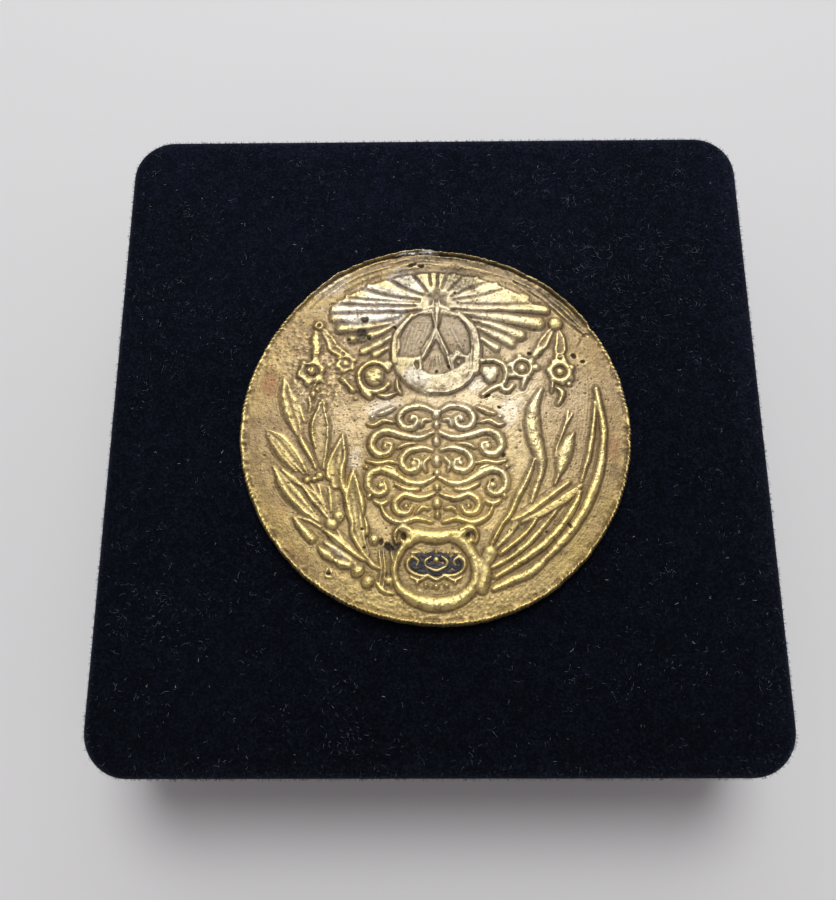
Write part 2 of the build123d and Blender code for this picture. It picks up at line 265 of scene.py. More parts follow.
# ---- Materials ----
class Nodes:
    """Short way to add and link shader nodes."""

    def __init__(self, name):
        self.material = bpy.data.materials.new(name)
        self.material.use_nodes = True
        self.tree = self.material.node_tree
        self.tree.nodes.clear()
        self.shader = self.add("BsdfPrincipled")
        self.add("OutputMaterial", Surface=self.shader.outputs[0])
        self.coordinates = self.add("TexCoord").outputs["Object"]

    def add(self, kind, **values):
        """A new node with some of its inputs fed."""
        node = self.tree.nodes.new("ShaderNode" + kind)
        self.feed(node, **values)
        return node

    def feed(self, node, **values):
        """Feeds a node's inputs, each by name."""
        for key, value in values.items():
            self.give(node.inputs[key.replace("_", " ")], value)

    def give(self, target, value):
        """Links an input to a socket, or sets its number."""
        if isinstance(value, bpy.types.NodeSocket):
            self.tree.links.new(value, target)
        else:
            target.default_value = value

    def finish(self, colour, **values):
        """Feeds the shader, and gives the material."""
        self.feed(self.shader, Base_Color=colour, **values)
        return self.material

    def noise(self, scale_per_mm, detail=3.0, rough=0.55, stretch=None):
        """Noise with a number of features per millimetre, scaled along each axis if asked."""
        place = self.coordinates
        if stretch is not None:
            place = self.add("Mapping", Vector=place, Scale=stretch).outputs["Vector"]
        node = self.add("TexNoise", Vector=place, Scale=scale_per_mm / MM, Detail=detail, Roughness=rough)
        return node.outputs["Fac"]

    def cells(self, scale_per_mm):
        """Distance to scattered points, so many to the millimetre."""
        return self.add("TexVoronoi", Vector=self.coordinates, Scale=scale_per_mm / MM).outputs["Distance"]

    def attribute(self, name):
        """A float that the mesh holds for each vertex."""
        node = self.add("Attribute")
        node.attribute_name = name
        return node.outputs["Fac"]

    def share(self, name, strength):
        """An attribute of the mesh, times its greatest strength."""
        return self.math("MULTIPLY", self.attribute(name), strength)

    def axis_share(self, axis, low_mm, high_mm):
        """0 to 1 along one axis of the object's own coordinates."""
        split = self.add("SeparateXYZ", Vector=self.coordinates)
        ends = {"From Min": low_mm * MM, "From Max": high_mm * MM}
        return self.add("MapRange", Value=split.outputs[axis], **ends).outputs["Result"]

    def ramp(self, source, *stops):
        """Colour ramp; each stop is (position, colour or grey)."""
        node = self.add("ValToRGB", Fac=source)
        elements = node.color_ramp.elements
        while len(elements) < len(stops):
            elements.new(0.5)
        for element, (position, colour) in zip(elements, stops):
            element.position = position
            element.color = rgba(colour)
        return node.outputs["Color"]

    def mix(self, factor, first, second, blend="MIX"):
        """Mix of two colours; each input is a socket, a colour or a number."""
        node = self.add("Mix")
        node.data_type = "RGBA"
        node.blend_type = blend
        self.give(node.inputs[0], factor)
        for index, value in ((6, first), (7, second)):
            self.give(node.inputs[index], rgba(value))
        return node.outputs[2]

    def math(self, operation, first, second):
        """One sum of two numbers or sockets."""
        node = self.add("Math")
        node.operation = operation
        self.give(node.inputs[0], first)
        self.give(node.inputs[1], second)
        return node.outputs[0]

    def bump(self, height, distance_mm, strength, **normal):
        """Bump of so many millimetres, over another one if it is given as Normal."""
        node = self.add("Bump", Height=height, Distance=distance_mm * MM, Strength=strength, **normal)
        return node.outputs["Normal"]


def rgba(colour):
    """Four numbers from a grey or a colour; a socket stays as it is."""
    if isinstance(colour, (int, float)):
        return (colour, colour, colour, 1.0)
    if isinstance(colour, bpy.types.NodeSocket):
        return colour
    return (*colour, 1.0)


def grained(name, grain, stops, bump, **values):
    """Material with one noise that sets both its colour and its bump."""
    n = Nodes(name)
    pattern = n.noise(*grain)
    return n.finish(n.ramp(pattern, *stops), Normal=n.bump(pattern, *bump), **values)


def velvet_material():
    """Short dense pile: nearly black, with painted shade darker towards the front and a painted sheen paler
    along the edges.
    """
    n = Nodes("case_velvet")
    patches = n.noise(0.05, 2.0)
    pile = n.noise(3.2, 4.0, 0.75)
    tuft = n.noise(0.8, 3.0, 0.7)
    colour = n.ramp(patches, (0.35, (0.0019, 0.0030, 0.0076)), (0.7, (0.0034, 0.0050, 0.0118)))
    colour = n.mix(n.ramp(pile, (0.44, 0.0), (0.66, 1.0)), colour, (0.0105, 0.0145, 0.027))
    colour = n.mix(n.ramp(tuft, (0.42, 0.45), (0.6, 0.0)), colour, (0.0006, 0.0010, 0.0024))
    # Painted shade: the colour is multiplied down to about 0.56 towards the front of the case.
    front = n.axis_share("Y", -45, 45)
    shade = n.mix(1.0, colour, n.mix(front, (0.58, 0.56, 0.54), (1, 1, 1)), "MULTIPLY")
    # Painted sheen: the colour is made up to about twice as bright along the front and back edges and the
    # right side.
    edge = n.math("SUBTRACT", 1.0, n.axis_share("Y", -44, -41))
    edge = n.math("MAXIMUM", edge, n.math("MAXIMUM", n.axis_share("X", 39, 44), n.axis_share("Y", 40.5, 44)))
    shade = n.mix(1.0, shade, n.mix(edge, (1, 1, 1), (2.0, 1.8, 1.65)), "MULTIPLY")
    return n.finish(shade, Normal=n.bump(pile, 0.14, 0.8), Roughness=0.95, Specular_IOR_Level=0.06,
                    Sheen_Weight=0.13, Sheen_Roughness=0.4, Sheen_Tint=(0.34, 0.42, 0.72, 1.0))


def lint_material(name, dark, light):
    """Textile fibres of two shades."""
    n = Nodes(name)
    return n.finish(n.ramp(n.noise(0.5, 1.0), (0.42, dark), (0.6, light)), Roughness=0.8)


def floor_material():
    """Smooth pale table top with a faint cloud."""
    n = Nodes("pale_table")
    shade = n.ramp(n.noise(0.004, 2.0), (0.2, (0.80, 0.80, 0.81)), (0.8, (0.84, 0.84, 0.84)))
    return n.finish(shade, Roughness=0.6, Specular_IOR_Level=0.3)


# ---- Camera, light and floor ----
def make_camera():
    """Camera above the case and a little in front of it, looking down."""
    elevation = math.radians(CAMERA_ELEVATION)
    azimuth = math.radians(CAMERA_AZIMUTH)
    roll = math.radians(CAMERA_ROLL)
    forward = Vector((math.sin(azimuth) * math.cos(elevation),
                      math.cos(azimuth) * math.cos(elevation), -math.sin(elevation)))
    right = Vector((math.cos(azimuth), -math.sin(azimuth), 0))
    up = right.cross(forward)
    rolled_right = right * math.cos(roll) + up * math.sin(roll)
    rolled_up = up * math.cos(roll) - right * math.sin(roll)
    data = bpy.data.cameras.new("camera")
    data.lens = LENS
    data.sensor_width = SENSOR
    data.clip_start = 0.005
    camera = bpy.data.objects.new("camera", data)
    turn = Matrix((rolled_right, rolled_up, -forward)).transposed().to_4x4()
    place = Vector(CAMERA_OFFSET) + Vector((0, 0, CASE_TOP))
    camera.matrix_world = Matrix.Translation(place * MM) @ turn
    bpy.context.scene.collection.objects.link(camera)
    bpy.context.scene.camera = camera


def area_light(name, elevation, azimuth, distance, size, power):
    """Round soft light that faces the case; azimuth 0 is over +Y."""
    e = math.radians(elevation)
    a = math.radians(azimuth)
    direction = Vector((math.sin(a) * math.cos(e), math.cos(a) * math.cos(e), math.sin(e)))
    data = bpy.data.lights.new(name, "AREA")
    data.shape = "DISK"
    data.size = size
    data.energy = power
    data.color = DAYLIGHT
    light = bpy.data.objects.new(name, data)
    light.location = direction * distance
    light.rotation_euler = direction.to_track_quat("Z", "Y").to_euler()
    bpy.context.scene.collection.objects.link(light)


def make_world():
    """Even pale surroundings."""
    world = bpy.data.worlds.new("studio")
    world.use_nodes = True
    background = world.node_tree.nodes["Background"]
    background.inputs["Color"].default_value = SURROUNDINGS
    background.inputs["Strength"].default_value = SURROUND_STRENGTH
    bpy.context.scene.world = world


def make_stage():
    """Plain pale floor."""
    corners = [(sx * FLOOR_HALF, sy * FLOOR_HALF, 0) for sx, sy in ((-1, -1), (1, -1), (1, 1), (-1, 1))]
    floor = mesh_piece("floor", corners, [(0, 1, 2, 3)], smooth=False)
    floor.data.materials.append(floor_material())


# ---- Case: velvet skins ----
def rounded_square(half, corner, count):
    """Points evenly spaced round a square with round corners, from the middle of its right side."""
    corner = max(min(corner, half * 0.999), 1e-3)
    straight = 2 * (half - corner)
    arc = corner * math.pi / 2
    total = 4 * (straight + arc)
    places = np.arange(count) / count * total
    points = np.empty((count, 2))
    for index, s in enumerate(places):
        s = s + straight / 2
        side = int(s // (straight + arc)) % 4
        s = s % (straight + arc)
        if s < straight:
            local = np.array([half, s - straight / 2])
        else:
            angle = (s - straight) / corner
            local = np.array([half - corner + corner * math.cos(angle),
                              half - corner + corner * math.sin(angle)])
        turn = side * math.pi / 2
        c = math.cos(turn)
        k = math.sin(turn)
        points[index] = (c * local[0] - k * local[1], k * local[0] + c * local[1])
    return points


def channel_rise(y):
    """How far the hinge channel cuts into a rim, above or below the hinge axis."""
    return np.sqrt(np.maximum(CHANNEL_RADIUS ** 2 - (y - AXIS_Y) ** 2, 0.0))


def ring_stack(name, rings, looped):
    """Skin through rings of (half, corner, height function); looped joins the last ring to the first."""
    count = detail(240, 560)
    verts = []
    for half, corner, height in rings:
        points = rounded_square(half, corner, count)
        verts.append(np.column_stack([points, height(points[:, 0], points[:, 1])]))
    quads = grid_quads(len(rings) + looped, count, wrap=True)
    return quad_mesh(name, np.concatenate(verts), quads % (len(rings) * count))


def velvet_ripple(x, y):
    """Low unevenness of a flocked surface."""
    slow = layered_noise(x, y, 9.0, 31, 3) * 0.02
    fast = layered_noise(x, y, 0.9, 77, 2) * 0.012
    return slow + fast


def side_corner(half):
    """Corner radius of a ring, following the case's outline inwards."""
    return max(CASE_CORNER - (CASE_HALF - half), 0.6)


def skin_ring(half, height):
    """A ring of a skin, with the corner that goes with its size."""
    return half, side_corner(half), height


def level(z):
    """Height function of a flat ring."""
    return lambda x, y: np.full(len(x), float(z))


def lid_rim(x, y):
    """Lower edge of the lid's wall."""
    return np.maximum(LID_BOTTOM, AXIS_Z + channel_rise(y))


def base_rim(x, y):
    """Upper edge of the base's wall."""
    return np.minimum(BASE_TOP, AXIS_Z - channel_rise(y))


def between(low, high, share):
    """Height function part of the way from one height function to another."""
    return lambda x, y: low(x, y) * (1 - share) + high(x, y) * share


def lid_velvet(material):
    """Velvet over the lid: soft flat top, rounded edge, walls, and the edge turned at the rim."""
    rings = []
    flat_half = CASE_HALF - LID_TOP_ROUND
    top = CASE_TOP - PILE_ROOM
    for half in np.arange(0.05, flat_half, detail(3.0, 0.9)):
        rings.append(skin_ring(half, lambda x, y: top + np.minimum(velvet_ripple(x, y), PILE_RISE)))
    for index in range(9):
        angle = math.pi / 2 * index / 8
        half = flat_half + LID_TOP_ROUND * math.sin(angle)
        drop = LID_TOP_ROUND * (1 - math.cos(angle))
        rings.append(skin_ring(half, lambda x, y, d=drop: top - d + 0.6 * velvet_ripple(x, y)))
    wall_top = level(top - LID_TOP_ROUND)
    for share in np.linspace(0.06, 0.97, 10):
        rings.append(skin_ring(CASE_HALF, between(wall_top, lid_rim, share)))
    for inset, lift in ((0.05, 0.06), (0.2, 0.0), (0.5, 0.0), (SKIN, 0.08)):
        rings.append(skin_ring(CASE_HALF - inset, lambda x, y, h=lift: lid_rim(x, y) + h))
    inner_top = SHELL_HIGH[2] + 0.02
    for share in (0.3, 0.6, 0.93):
        rings.append(skin_ring(CASE_HALF - SKIN, between(lid_rim, level(inner_top), share)))
    for half in (CASE_HALF - SKIN - 0.7, CASE_HALF - SKIN - 8, 12.0, 0.05):
        rings.append(skin_ring(half, level(inner_top)))
    piece = ring_stack("lid_velvet_cover", rings, False)
    piece.data.materials.append(material)
    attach(piece, "lid")
    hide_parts("lid_velvet")


def base_velvet(material):
    """Velvet round the base's walls, turned under the floor."""
    bottom = 0.45
    inner = CASE_HALF - SKIN
    turned = SHEET_HIGH[0]
    rings = [skin_ring(inner, lambda x, y: base_rim(x, y) - 0.08)]
    for inset in (0.5, 0.2):
        rings.append(skin_ring(CASE_HALF - inset, base_rim))
    rings.append((CASE_HALF - 0.05, CASE_CORNER, lambda x, y: base_rim(x, y) - 0.06))
    for share in np.linspace(0.03, 0.95, 11):
        rings.append(skin_ring(CASE_HALF, between(base_rim, level(bottom), share)))
    for index in range(1, 5):
        angle = math.pi / 2 * index / 4
        half = CASE_HALF - bottom * (1 - math.cos(angle))
        rings.append(skin_ring(half, level(bottom * (1 - math.sin(angle)))))
    for half in (CASE_HALF - 3.0, turned + 0.15):
        rings.append(skin_ring(half, level(0.0)))
    for height in (0.15, SHEET_HIGH[2]):
        rings.append((turned + 0.02, side_corner(turned), level(height)))
    rings.append(skin_ring(inner, level(SHEET_HIGH[2])))
    piece = ring_stack("base_velvet_cover", rings, True)
    piece.data.materials.append(material)
    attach(piece, "base")
    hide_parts("base_velvet")


# ---- Case: seat insert and lid pad ----
def spokes():
    """Evenly spaced angles round the seat."""
    count = detail(360, 1080)
    return 2 * np.pi * np.arange(count) / count


def seat_reach(angle, grow):
    """How far the seat's outline is from its centre, by angle: a circle with two thumb scoops."""
    seat = np.full(len(angle), SEAT_RADIUS + grow)
    radius = THUMB_RADIUS + grow
    for side in (1, -1):
        across = THUMB_OFFSET * np.abs(np.sin(angle))
        ahead = side * THUMB_OFFSET * np.cos(angle)
        reach = ahead + np.sqrt(np.maximum(radius ** 2 - across ** 2, 0))
        seat = np.maximum(seat, np.where((across < radius) & (ahead > 0), reach, 0))
    kernel = np.exp(-np.linspace(-2, 2, 13) ** 2)
    padded = np.concatenate([seat[-6:], seat, seat[:6]])
    return np.convolve(padded, kernel / kernel.sum(), "valid")


def tray_reach(angle, low, high, shrink, corner):
    """How far a rounded rectangle's outline is from the seat's centre, by angle."""
    middle = np.array([(low[0] + high[0]) / 2, (low[1] + high[1]) / 2])
    half = np.array([(high[0] - low[0]) / 2, (high[1] - low[1]) / 2]) - shrink
    corner = max(corner - shrink, 0.3)
    near = np.zeros(len(angle))
    far = np.full(len(angle), 80.0)
    direction = np.column_stack([np.cos(angle), np.sin(angle)])
    for _ in range(40):
        trial = (near + far) / 2
        place = np.abs(direction * trial[:, None] - middle) - (half - corner)
        outside = np.hypot(np.maximum(place[:, 0], 0), np.maximum(place[:, 1], 0)) - corner
        outside = np.where((place < 0).any(axis=1), np.maximum(place[:, 0], place[:, 1]) - corner, outside)
        far = np.where(outside > 0, trial, far)
        near = np.where(outside > 0, near, trial)
    return (near + far) / 2


def radial_body(name, angle, rings):
    """Skin through rings given as (reach by angle, height by angle)."""
    verts = []
    for reach, height in rings:
        z = np.broadcast_to(height, (len(angle),))
        verts.append(np.column_stack([reach * np.cos(angle), reach * np.sin(angle), z]))
    return quad_mesh(name, np.concatenate(verts), grid_quads(len(verts), len(angle), wrap=True))


# the seat's wall: how far out from the seat's outline, and how high over its floor at full depth
SEAT_WALL = [(-1.0, 0.02), (-0.6, 0.05), (-0.35, 0.18), (-0.2, 0.45), (-0.12, 1.0), (-0.05, 1.8),
             (0.02, 2.35), (0.12, 2.64), (0.30, 2.82), (0.6, 2.93), (1.0, 2.98), (1.6, 3.0)]


def insert_profile(angle, grow, top, drop, low, wall_low):
    """Rings from the seat's middle up its wall, over the soft shoulder and down the outer edge."""
    seat = seat_reach(angle, grow)
    outer = tray_reach(angle, INSERT_LOW, INSERT_HIGH, grow, 2.6)
    floor = top - drop
    rings = [(np.full(len(angle), 0.02), floor)]
    for share in (0.15, 0.3, 0.45, 0.6, 0.72, 0.84, 0.93):
        reach = seat * share
        dimple = 0.05 * layered_noise(reach * np.cos(angle), reach * np.sin(angle), 6.0, 401, 2)
        rings.append((reach, floor + np.abs(dimple)))
    for offset, rise in SEAT_WALL:
        wobble = 0.03 * value_noise(angle * 14, angle * 0 + offset, 1.0, 402)
        rings.append((seat + offset + wobble * (abs(offset) < 0.5), floor + rise / 3.0 * drop))
    inner = seat + 1.6
    for share in (0.12, 0.26, 0.4, 0.55, 0.7, 0.82, 0.92):
        reach = inner + (outer - 1.6 - inner) * share
        ripple = 0.05 * layered_noise(reach * np.cos(angle), reach * np.sin(angle), 7.0, 403, 2)
        rings.append((reach, top - 0.05 + np.clip(ripple, -0.06, 0.05)))
    for offset, dip in ((-1.2, 0.08), (-0.75, 0.2), (-0.35, 0.5), (-0.12, 0.9), (-0.03, 1.5)):
        rings.append((outer + offset, top - dip))
    for share in (0.25, 0.5, 0.75, 1.0):
        rings.append((outer, top - 1.5 + (wall_low - top + 1.5) * share))
    rings.append((outer - 0.06, low))
    return rings


def insert_pieces(cover_material, foam_material):
    """Velvet insert pressed into a seat with two thumb scoops, over its foam block."""
    angle = spokes()
    top = INSERT_HIGH[2]
    low = INSERT_LOW[2]
    skin = top - FOAM_HIGH[2]
    outside = insert_profile(angle, 0.0, top, SEAT_DEPTH, low, low + 0.2)
    inside = insert_profile(angle, skin - 0.1, top - skin + 0.1, SEAT_DEPTH, low, low + 0.2)
    cover = radial_body("insert_velvet_cover", angle, outside + inside[::-1])
    cover.data.materials.append(cover_material)
    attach(cover, "base")
    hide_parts("insert_velvet")
    foam_low = FOAM_LOW[2]
    rings = insert_profile(angle, skin, FOAM_HIGH[2], SEAT_DEPTH, foam_low, foam_low + 0.1)
    rings.append((np.full(len(angle), 0.02), foam_low))
    foam = radial_body("insert_foam_block", angle, rings)
    foam.data.materials.append(foam_material)
    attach(foam, "base")
    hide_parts("insert_foam")


def liner_pad(material):
    """Thin puffed satin pad in the lid, drawn in at its edge with small gathers."""
    angle = spokes()
    count = len(angle)
    low = PAD_LOW[2]
    high = PAD_HIGH[2]
    outer = tray_reach(angle, PAD_LOW, PAD_HIGH, 0.0, 2.2)
    rings = [(np.full(count, 0.02), high), (outer * 0.5, high), (outer - 1.2, high)]
    rings.append((outer - 0.35, high - 0.05))
    for inset, rise in ((0.06, 1.45), (0.0, 1.1), (0.12, 0.75), (0.4, 0.45), (0.9, 0.25), (1.6, 0.14)):
        gather = 0.10 * value_noise(angle * 60, angle * 0 + inset * 2, 1.0, 411) * (inset > 0.01)
        rings.append((outer - inset, low + rise + np.maximum(gather, -0.08)))
    for share in (0.95, 0.88, 0.8, 0.7, 0.58, 0.45, 0.3, 0.15):
        reach = (outer - 1.6) * share
        gather = 0.09 * value_noise(angle * 60, angle * 0 + share * 3, 1.0, 411)
        gather = gather * smoothstep(0.75, 0.95, share)
        cloud = layered_noise(reach * np.cos(angle), reach * np.sin(angle), 12.0, 412, 2)
        swell = 0.06 + 0.05 * cloud + gather
        rings.append((reach, low + np.maximum(swell, 0.0)))
    rings.append((np.full(count, 0.02), low + 0.05))
    piece = radial_body("lid_satin_pad", angle, rings)
    piece.data.materials.append(material)
    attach(piece, "lid")
    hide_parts("lid_liner_pad")


# ---- Case: materials of the inner parts, and the CAD nodes that still show ----
def satin_material():
    """Ivory satin: soft gloss across the thread, faint weave."""
    n = Nodes("satin")
    cloud = n.noise(0.06, 3.0)
    thread = n.noise(2.4, 2.0, 0.5, (1.0, 14.0, 1.0))
    shade = n.ramp(cloud, (0.3, (0.66, 0.61, 0.51)), (0.7, (0.76, 0.72, 0.62)))
    shade = n.mix(n.ramp(thread, (0.42, 0.0), (0.6, 0.3)), shade, (0.52, 0.47, 0.38))
    return n.finish(shade, Normal=n.bump(thread, 0.03, 0.6), Roughness=0.34, Anisotropic=0.6,
                    Sheen_Weight=0.25, Sheen_Roughness=0.3)


def foam_material():
    """Charcoal foam with open cells."""
    n = Nodes("foam")
    cell = n.cells(2.2)
    shade = n.ramp(cell, (0.1, (0.010, 0.010, 0.011)), (0.6, (0.045, 0.045, 0.050)))
    return n.finish(shade, Normal=n.bump(cell, 0.25, 0.8), Roughness=0.95)


def card_material():
    """Grey-brown pulp board with fibres."""
    shades = [(0.3, (0.16, 0.13, 0.10)), (0.7, (0.30, 0.26, 0.20))]
    return grained("card", (1.5, 4.0, 0.7, (1.0, 5.0, 1.0)), shades, (0.05, 0.5), Roughness=0.85)


def plastic_material():
    """Black moulded plastic with a fine satin grain."""
    shades = [(0.3, (0.008, 0.008, 0.010)), (0.7, (0.016, 0.016, 0.019))]
    return grained("case_plastic", (2.5, 3.0), shades, (0.03, 0.5), Roughness=0.42)


def steel_material(name, light, dark, roughness):
    """Plated steel: drawn lengthways, with small dull spots."""
    n = Nodes(name)
    grain = n.noise(3.0, 3.0, 0.6, (0.25, 3.0, 3.0))
    spot = n.noise(0.9, 4.0, 0.7)
    metal = n.mix(n.ramp(grain, (0.35, 0.0), (0.65, 1.0)), light, tuple(0.8 * c for c in light))
    metal = n.mix(n.ramp(spot, (0.58, 0.0), (0.70, 0.7)), metal, dark)
    dull = n.ramp(spot, (0.5, roughness), (0.75, roughness + 0.25))
    return n.finish(metal, Normal=n.bump(grain, 0.012, 0.5), Roughness=dull, Metallic=1.0)


def dress(material, *names):
    """Gives CAD nodes that still show a material."""
    for name in names:
        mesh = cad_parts[name].data
        mesh.materials.clear()
        mesh.materials.append(material)


# ---- Lint and loose pile ----
def fibre_rings(roots, along, lengths, bend, radius, rng):
    """Corners of the three-sided rings of thin bent fibres: fibre, step, side, axis."""
    count = len(roots)
    along = unit(along)
    helper = np.where(np.abs(along[:, 2:3]) > 0.8, [[1.0, 0, 0]], [[0, 0, 1.0]])
    side = unit(np.cross(along, helper))
    other = np.cross(side, along)
    curl = rng.normal(0, bend, (count, 1, 1))
    wave = rng.normal(0, bend * 0.3, (count, 1, 1))
    turns = rng.uniform(0.5, 1.3, (count, 1, 1))
    t = np.linspace(0, 1, FIBRE_STEPS)[None, :, None]
    swing = curl * t * t + wave * np.sin(2 * np.pi * turns * t)
    lift = 0.10 * np.sin(np.pi * t) * rng.uniform(0, 1, (count, 1, 1))
    along = along[:, None, :]
    side = side[:, None, :]
    other = other[:, None, :]
    centre = roots[:, None, :] + lengths[:, None, None] * (t * along + swing * side + lift * other)
    thickness = radius * np.array(FIBRE_TAPER)[None, :, None]
    angles = [2 * np.pi * k / 3 for k in range(3)]
    return np.stack([centre + thickness * (math.cos(a) * side + math.sin(a) * other) for a in angles], axis=2)


def fibre_faces(count):
    """Faces of the tubes, and a triangle at each end."""
    base = np.arange(count) * FIBRE_STEPS * 3
    blocks = []
    for step in range(FIBRE_STEPS - 1):
        for k in range(3):
            a = base + step * 3 + k
            b = base + step * 3 + (k + 1) % 3
            blocks.append(np.column_stack([a, b, b + 3, a + 3]))
    last = base + (FIBRE_STEPS - 1) * 3
    blocks.append(np.column_stack([base, base + 2, base + 1]))
    blocks.append(np.column_stack([last, last + 1, last + 2]))
    return [row for block in blocks for row in block.tolist()]


def fibres(name, roots, along, lengths, bend, radius, material, body):
    """Thin bent fibres as three-sided tubes, one from each root along its direction."""
    rng = np.random.default_rng(len(roots))
    rings = fibre_rings(roots, along, lengths, bend, radius, rng)
    piece = mesh_piece(name, rings.reshape(-1, 3), fibre_faces(len(roots)))
    piece.data.materials.append(material)
    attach(piece, body)


def joined_up(rng, x, y, leader, grouped, spread):
    """Moves the grouped threads next to their leaders."""
    near_x = x[leader] + rng.normal(0, spread, len(x))
    near_y = y[leader] + rng.normal(0, spread, len(y))
    return np.where(grouped, near_x, x), np.where(grouped, near_y, y)


def off_coin(x, y, radius):
    """Which places are clear of the coin."""
    return np.hypot(x - COIN_X, y - COIN_Y) > radius


def inside_square(x, y, half):
    """Which places are on the lid's top."""
    return np.maximum(np.abs(x), np.abs(y)) < half


def lying(rng, x, y, low, high, tilt):
    """Roots and directions of threads that lie on the lid's top."""
    heading = rng.uniform(0, 2 * math.pi, len(x))
    roots = np.column_stack([x, y, CASE_TOP + rng.uniform(low, high, len(x))])
    return roots, np.column_stack([np.cos(heading), np.sin(heading), rng.normal(0.02, tilt, len(x))])


def lid_lint(material):
    """Lint caught on the lid's top: mostly short pale threads, none under the coin."""
    rng = np.random.default_rng(101)
    count = detail(900, 4200)
    half = 42.8
    x = rng.uniform(-half, half, count)
    y = rng.uniform(-half, half, count)
    grouped = rng.uniform(size=count) < 0.55
    leader = rng.integers(0, 380, count)
    x, y = joined_up(rng, x, y, leader, grouped, 0.7)
    crowd = value_noise(x, y, 14.0, 102) + rng.uniform(-1.2, 1.0, count)
    keep = off_coin(x, y, 26.2) & (crowd > -0.75) & inside_square(x, y, half)
    roots, along = lying(rng, x[keep], y[keep], -0.02, 0.06, 0.04)
    count = len(roots)
    lengths = rng.uniform(0.12, 0.6, count) * np.where(rng.uniform(size=count) < 0.06, 2.4, 1.0)
    fibres("lid_lint", roots, along, lengths, 0.3, 0.0085, material, "lid")


def lid_curls(material):
    """Longer curled threads, mostly behind the coin on its right."""
    rng = np.random.default_rng(107)
    count = detail(160, 420)
    spread = np.where(rng.uniform(size=count) < 0.5, 6.0, 18.0)
    x = COIN_X + 23 + spread * rng.normal(0, 1, count)
    y = COIN_Y + 23 + spread * rng.normal(0, 1, count)
    leader = rng.integers(0, 60, count)
    grouped = rng.uniform(size=count) < 0.5
    x, y = joined_up(rng, x, y, leader, grouped, 0.8)
    keep = off_coin(x, y, 26.6) & inside_square(x, y, 42.5)
    roots, along = lying(rng, x[keep], y[keep], 0.0, 0.06, 0.03)
    lengths = rng.uniform(0.25, 1.0, len(roots))
    fibres("lid_curls", roots, along, lengths, 0.7, 0.0095, material, "lid")


def lid_specks(material):
    """Brighter crumbs and threads on the lid's top."""
    rng = np.random.default_rng(103)
    count = 150
    x = rng.uniform(-42, 42, count)
    y = rng.uniform(-42, 42, count)
    keep = off_coin(x, y, 26.4)
    x = x[keep]
    y = y[keep]
    count = len(x)
    heading = rng.uniform(0, 2 * math.pi, count)
    roots = np.column_stack([x, y, np.full(count, CASE_TOP + 0.05)])
    along = np.column_stack([np.cos(heading), np.sin(heading), np.zeros(count)])
    lengths = rng.uniform(0.06, 0.5, count)
    fibres("lid_specks", roots, along, lengths, 0.5, 0.018, material, "lid")


def edge_fuzz(material):
    """Loose pile standing out from the lid's rounded top edge."""
    rng = np.random.default_rng(104)
    count = detail(900, 5000)
    ring = rounded_square(CASE_HALF - LID_TOP_ROUND, CASE_CORNER - LID_TOP_ROUND, 2000)
    after = np.roll(ring, -1, axis=0)
    tangent = after - ring
    outward = unit(np.column_stack([tangent[:, 1], -tangent[:, 0]]))
    pick = rng.integers(0, len(ring), count)
    rise = 1.45 * rng.uniform(0, 1, count) ** 1.7 - 0.05
    normal = np.column_stack([outward[pick] * np.cos(rise)[:, None], np.sin(rise)])
    centre = np.column_stack([ring[pick], np.full(count, CASE_TOP - LID_TOP_ROUND)])
    roots = centre + normal * (LID_TOP_ROUND - 0.05)
    along = normal + rng.normal(0, 0.55, (count, 3))
    lengths = rng.uniform(0.15, 0.42, count)
    fibres("lid_edge_fuzz", roots, along, lengths, 0.3, 0.022, material, "lid")


def wall_lint(material, body, low, high, back_low, seed):
    """A few threads on the four walls; the ones on the back wall start higher, clear of the hinge gap."""
    rng = np.random.default_rng(seed)
    count = detail(60, 420)
    side = rng.integers(0, 4, count)
    angle = side * math.pi / 2
    across = rng.uniform(-37, 37, count)
    out = np.column_stack([np.cos(angle), np.sin(angle), np.zeros(count)])
    flat = np.column_stack([-np.sin(angle), np.cos(angle), np.zeros(count)])
    roots = out * (CASE_HALF + 0.02) + flat * across[:, None]
    start = np.where(side == 1, back_low, low)
    roots[:, 2] = start + (high - start) * rng.uniform(0, 1, count)
    turn = rng.uniform(0, 2 * math.pi, count)
    along = flat * np.cos(turn)[:, None]
    along[:, 2] = np.sin(turn)
    fibres(body + "_wall_lint", roots, along, rng.uniform(0.25, 0.9, count), 0.35, 0.0085, material, body)


# ---- Coin: relief, worked out as heights over the field ----
def smooth_line(points, steps=8):
    """Smooth curve through points."""
    points = np.asarray(points, dtype=float)
    padded = np.vstack([2 * points[0] - points[1], points, 2 * points[-1] - points[-2]])
    t = np.linspace(0, 1, steps, endpoint=False)[:, None]
    spans = []
    for a, b, c, d in zip(padded[:-3], padded[1:-2], padded[2:-1], padded[3:]):
        spans.append(0.5 * (2 * b + (c - a) * t + (2 * a - 5 * b + 4 * c - d) * t ** 2
                            + (3 * b - a - 3 * c + d) * t ** 3))
    return np.vstack(spans + [points[-1:]])


# widths are those of the crests; the struck flanks are this much wider
SPREAD = 1.3


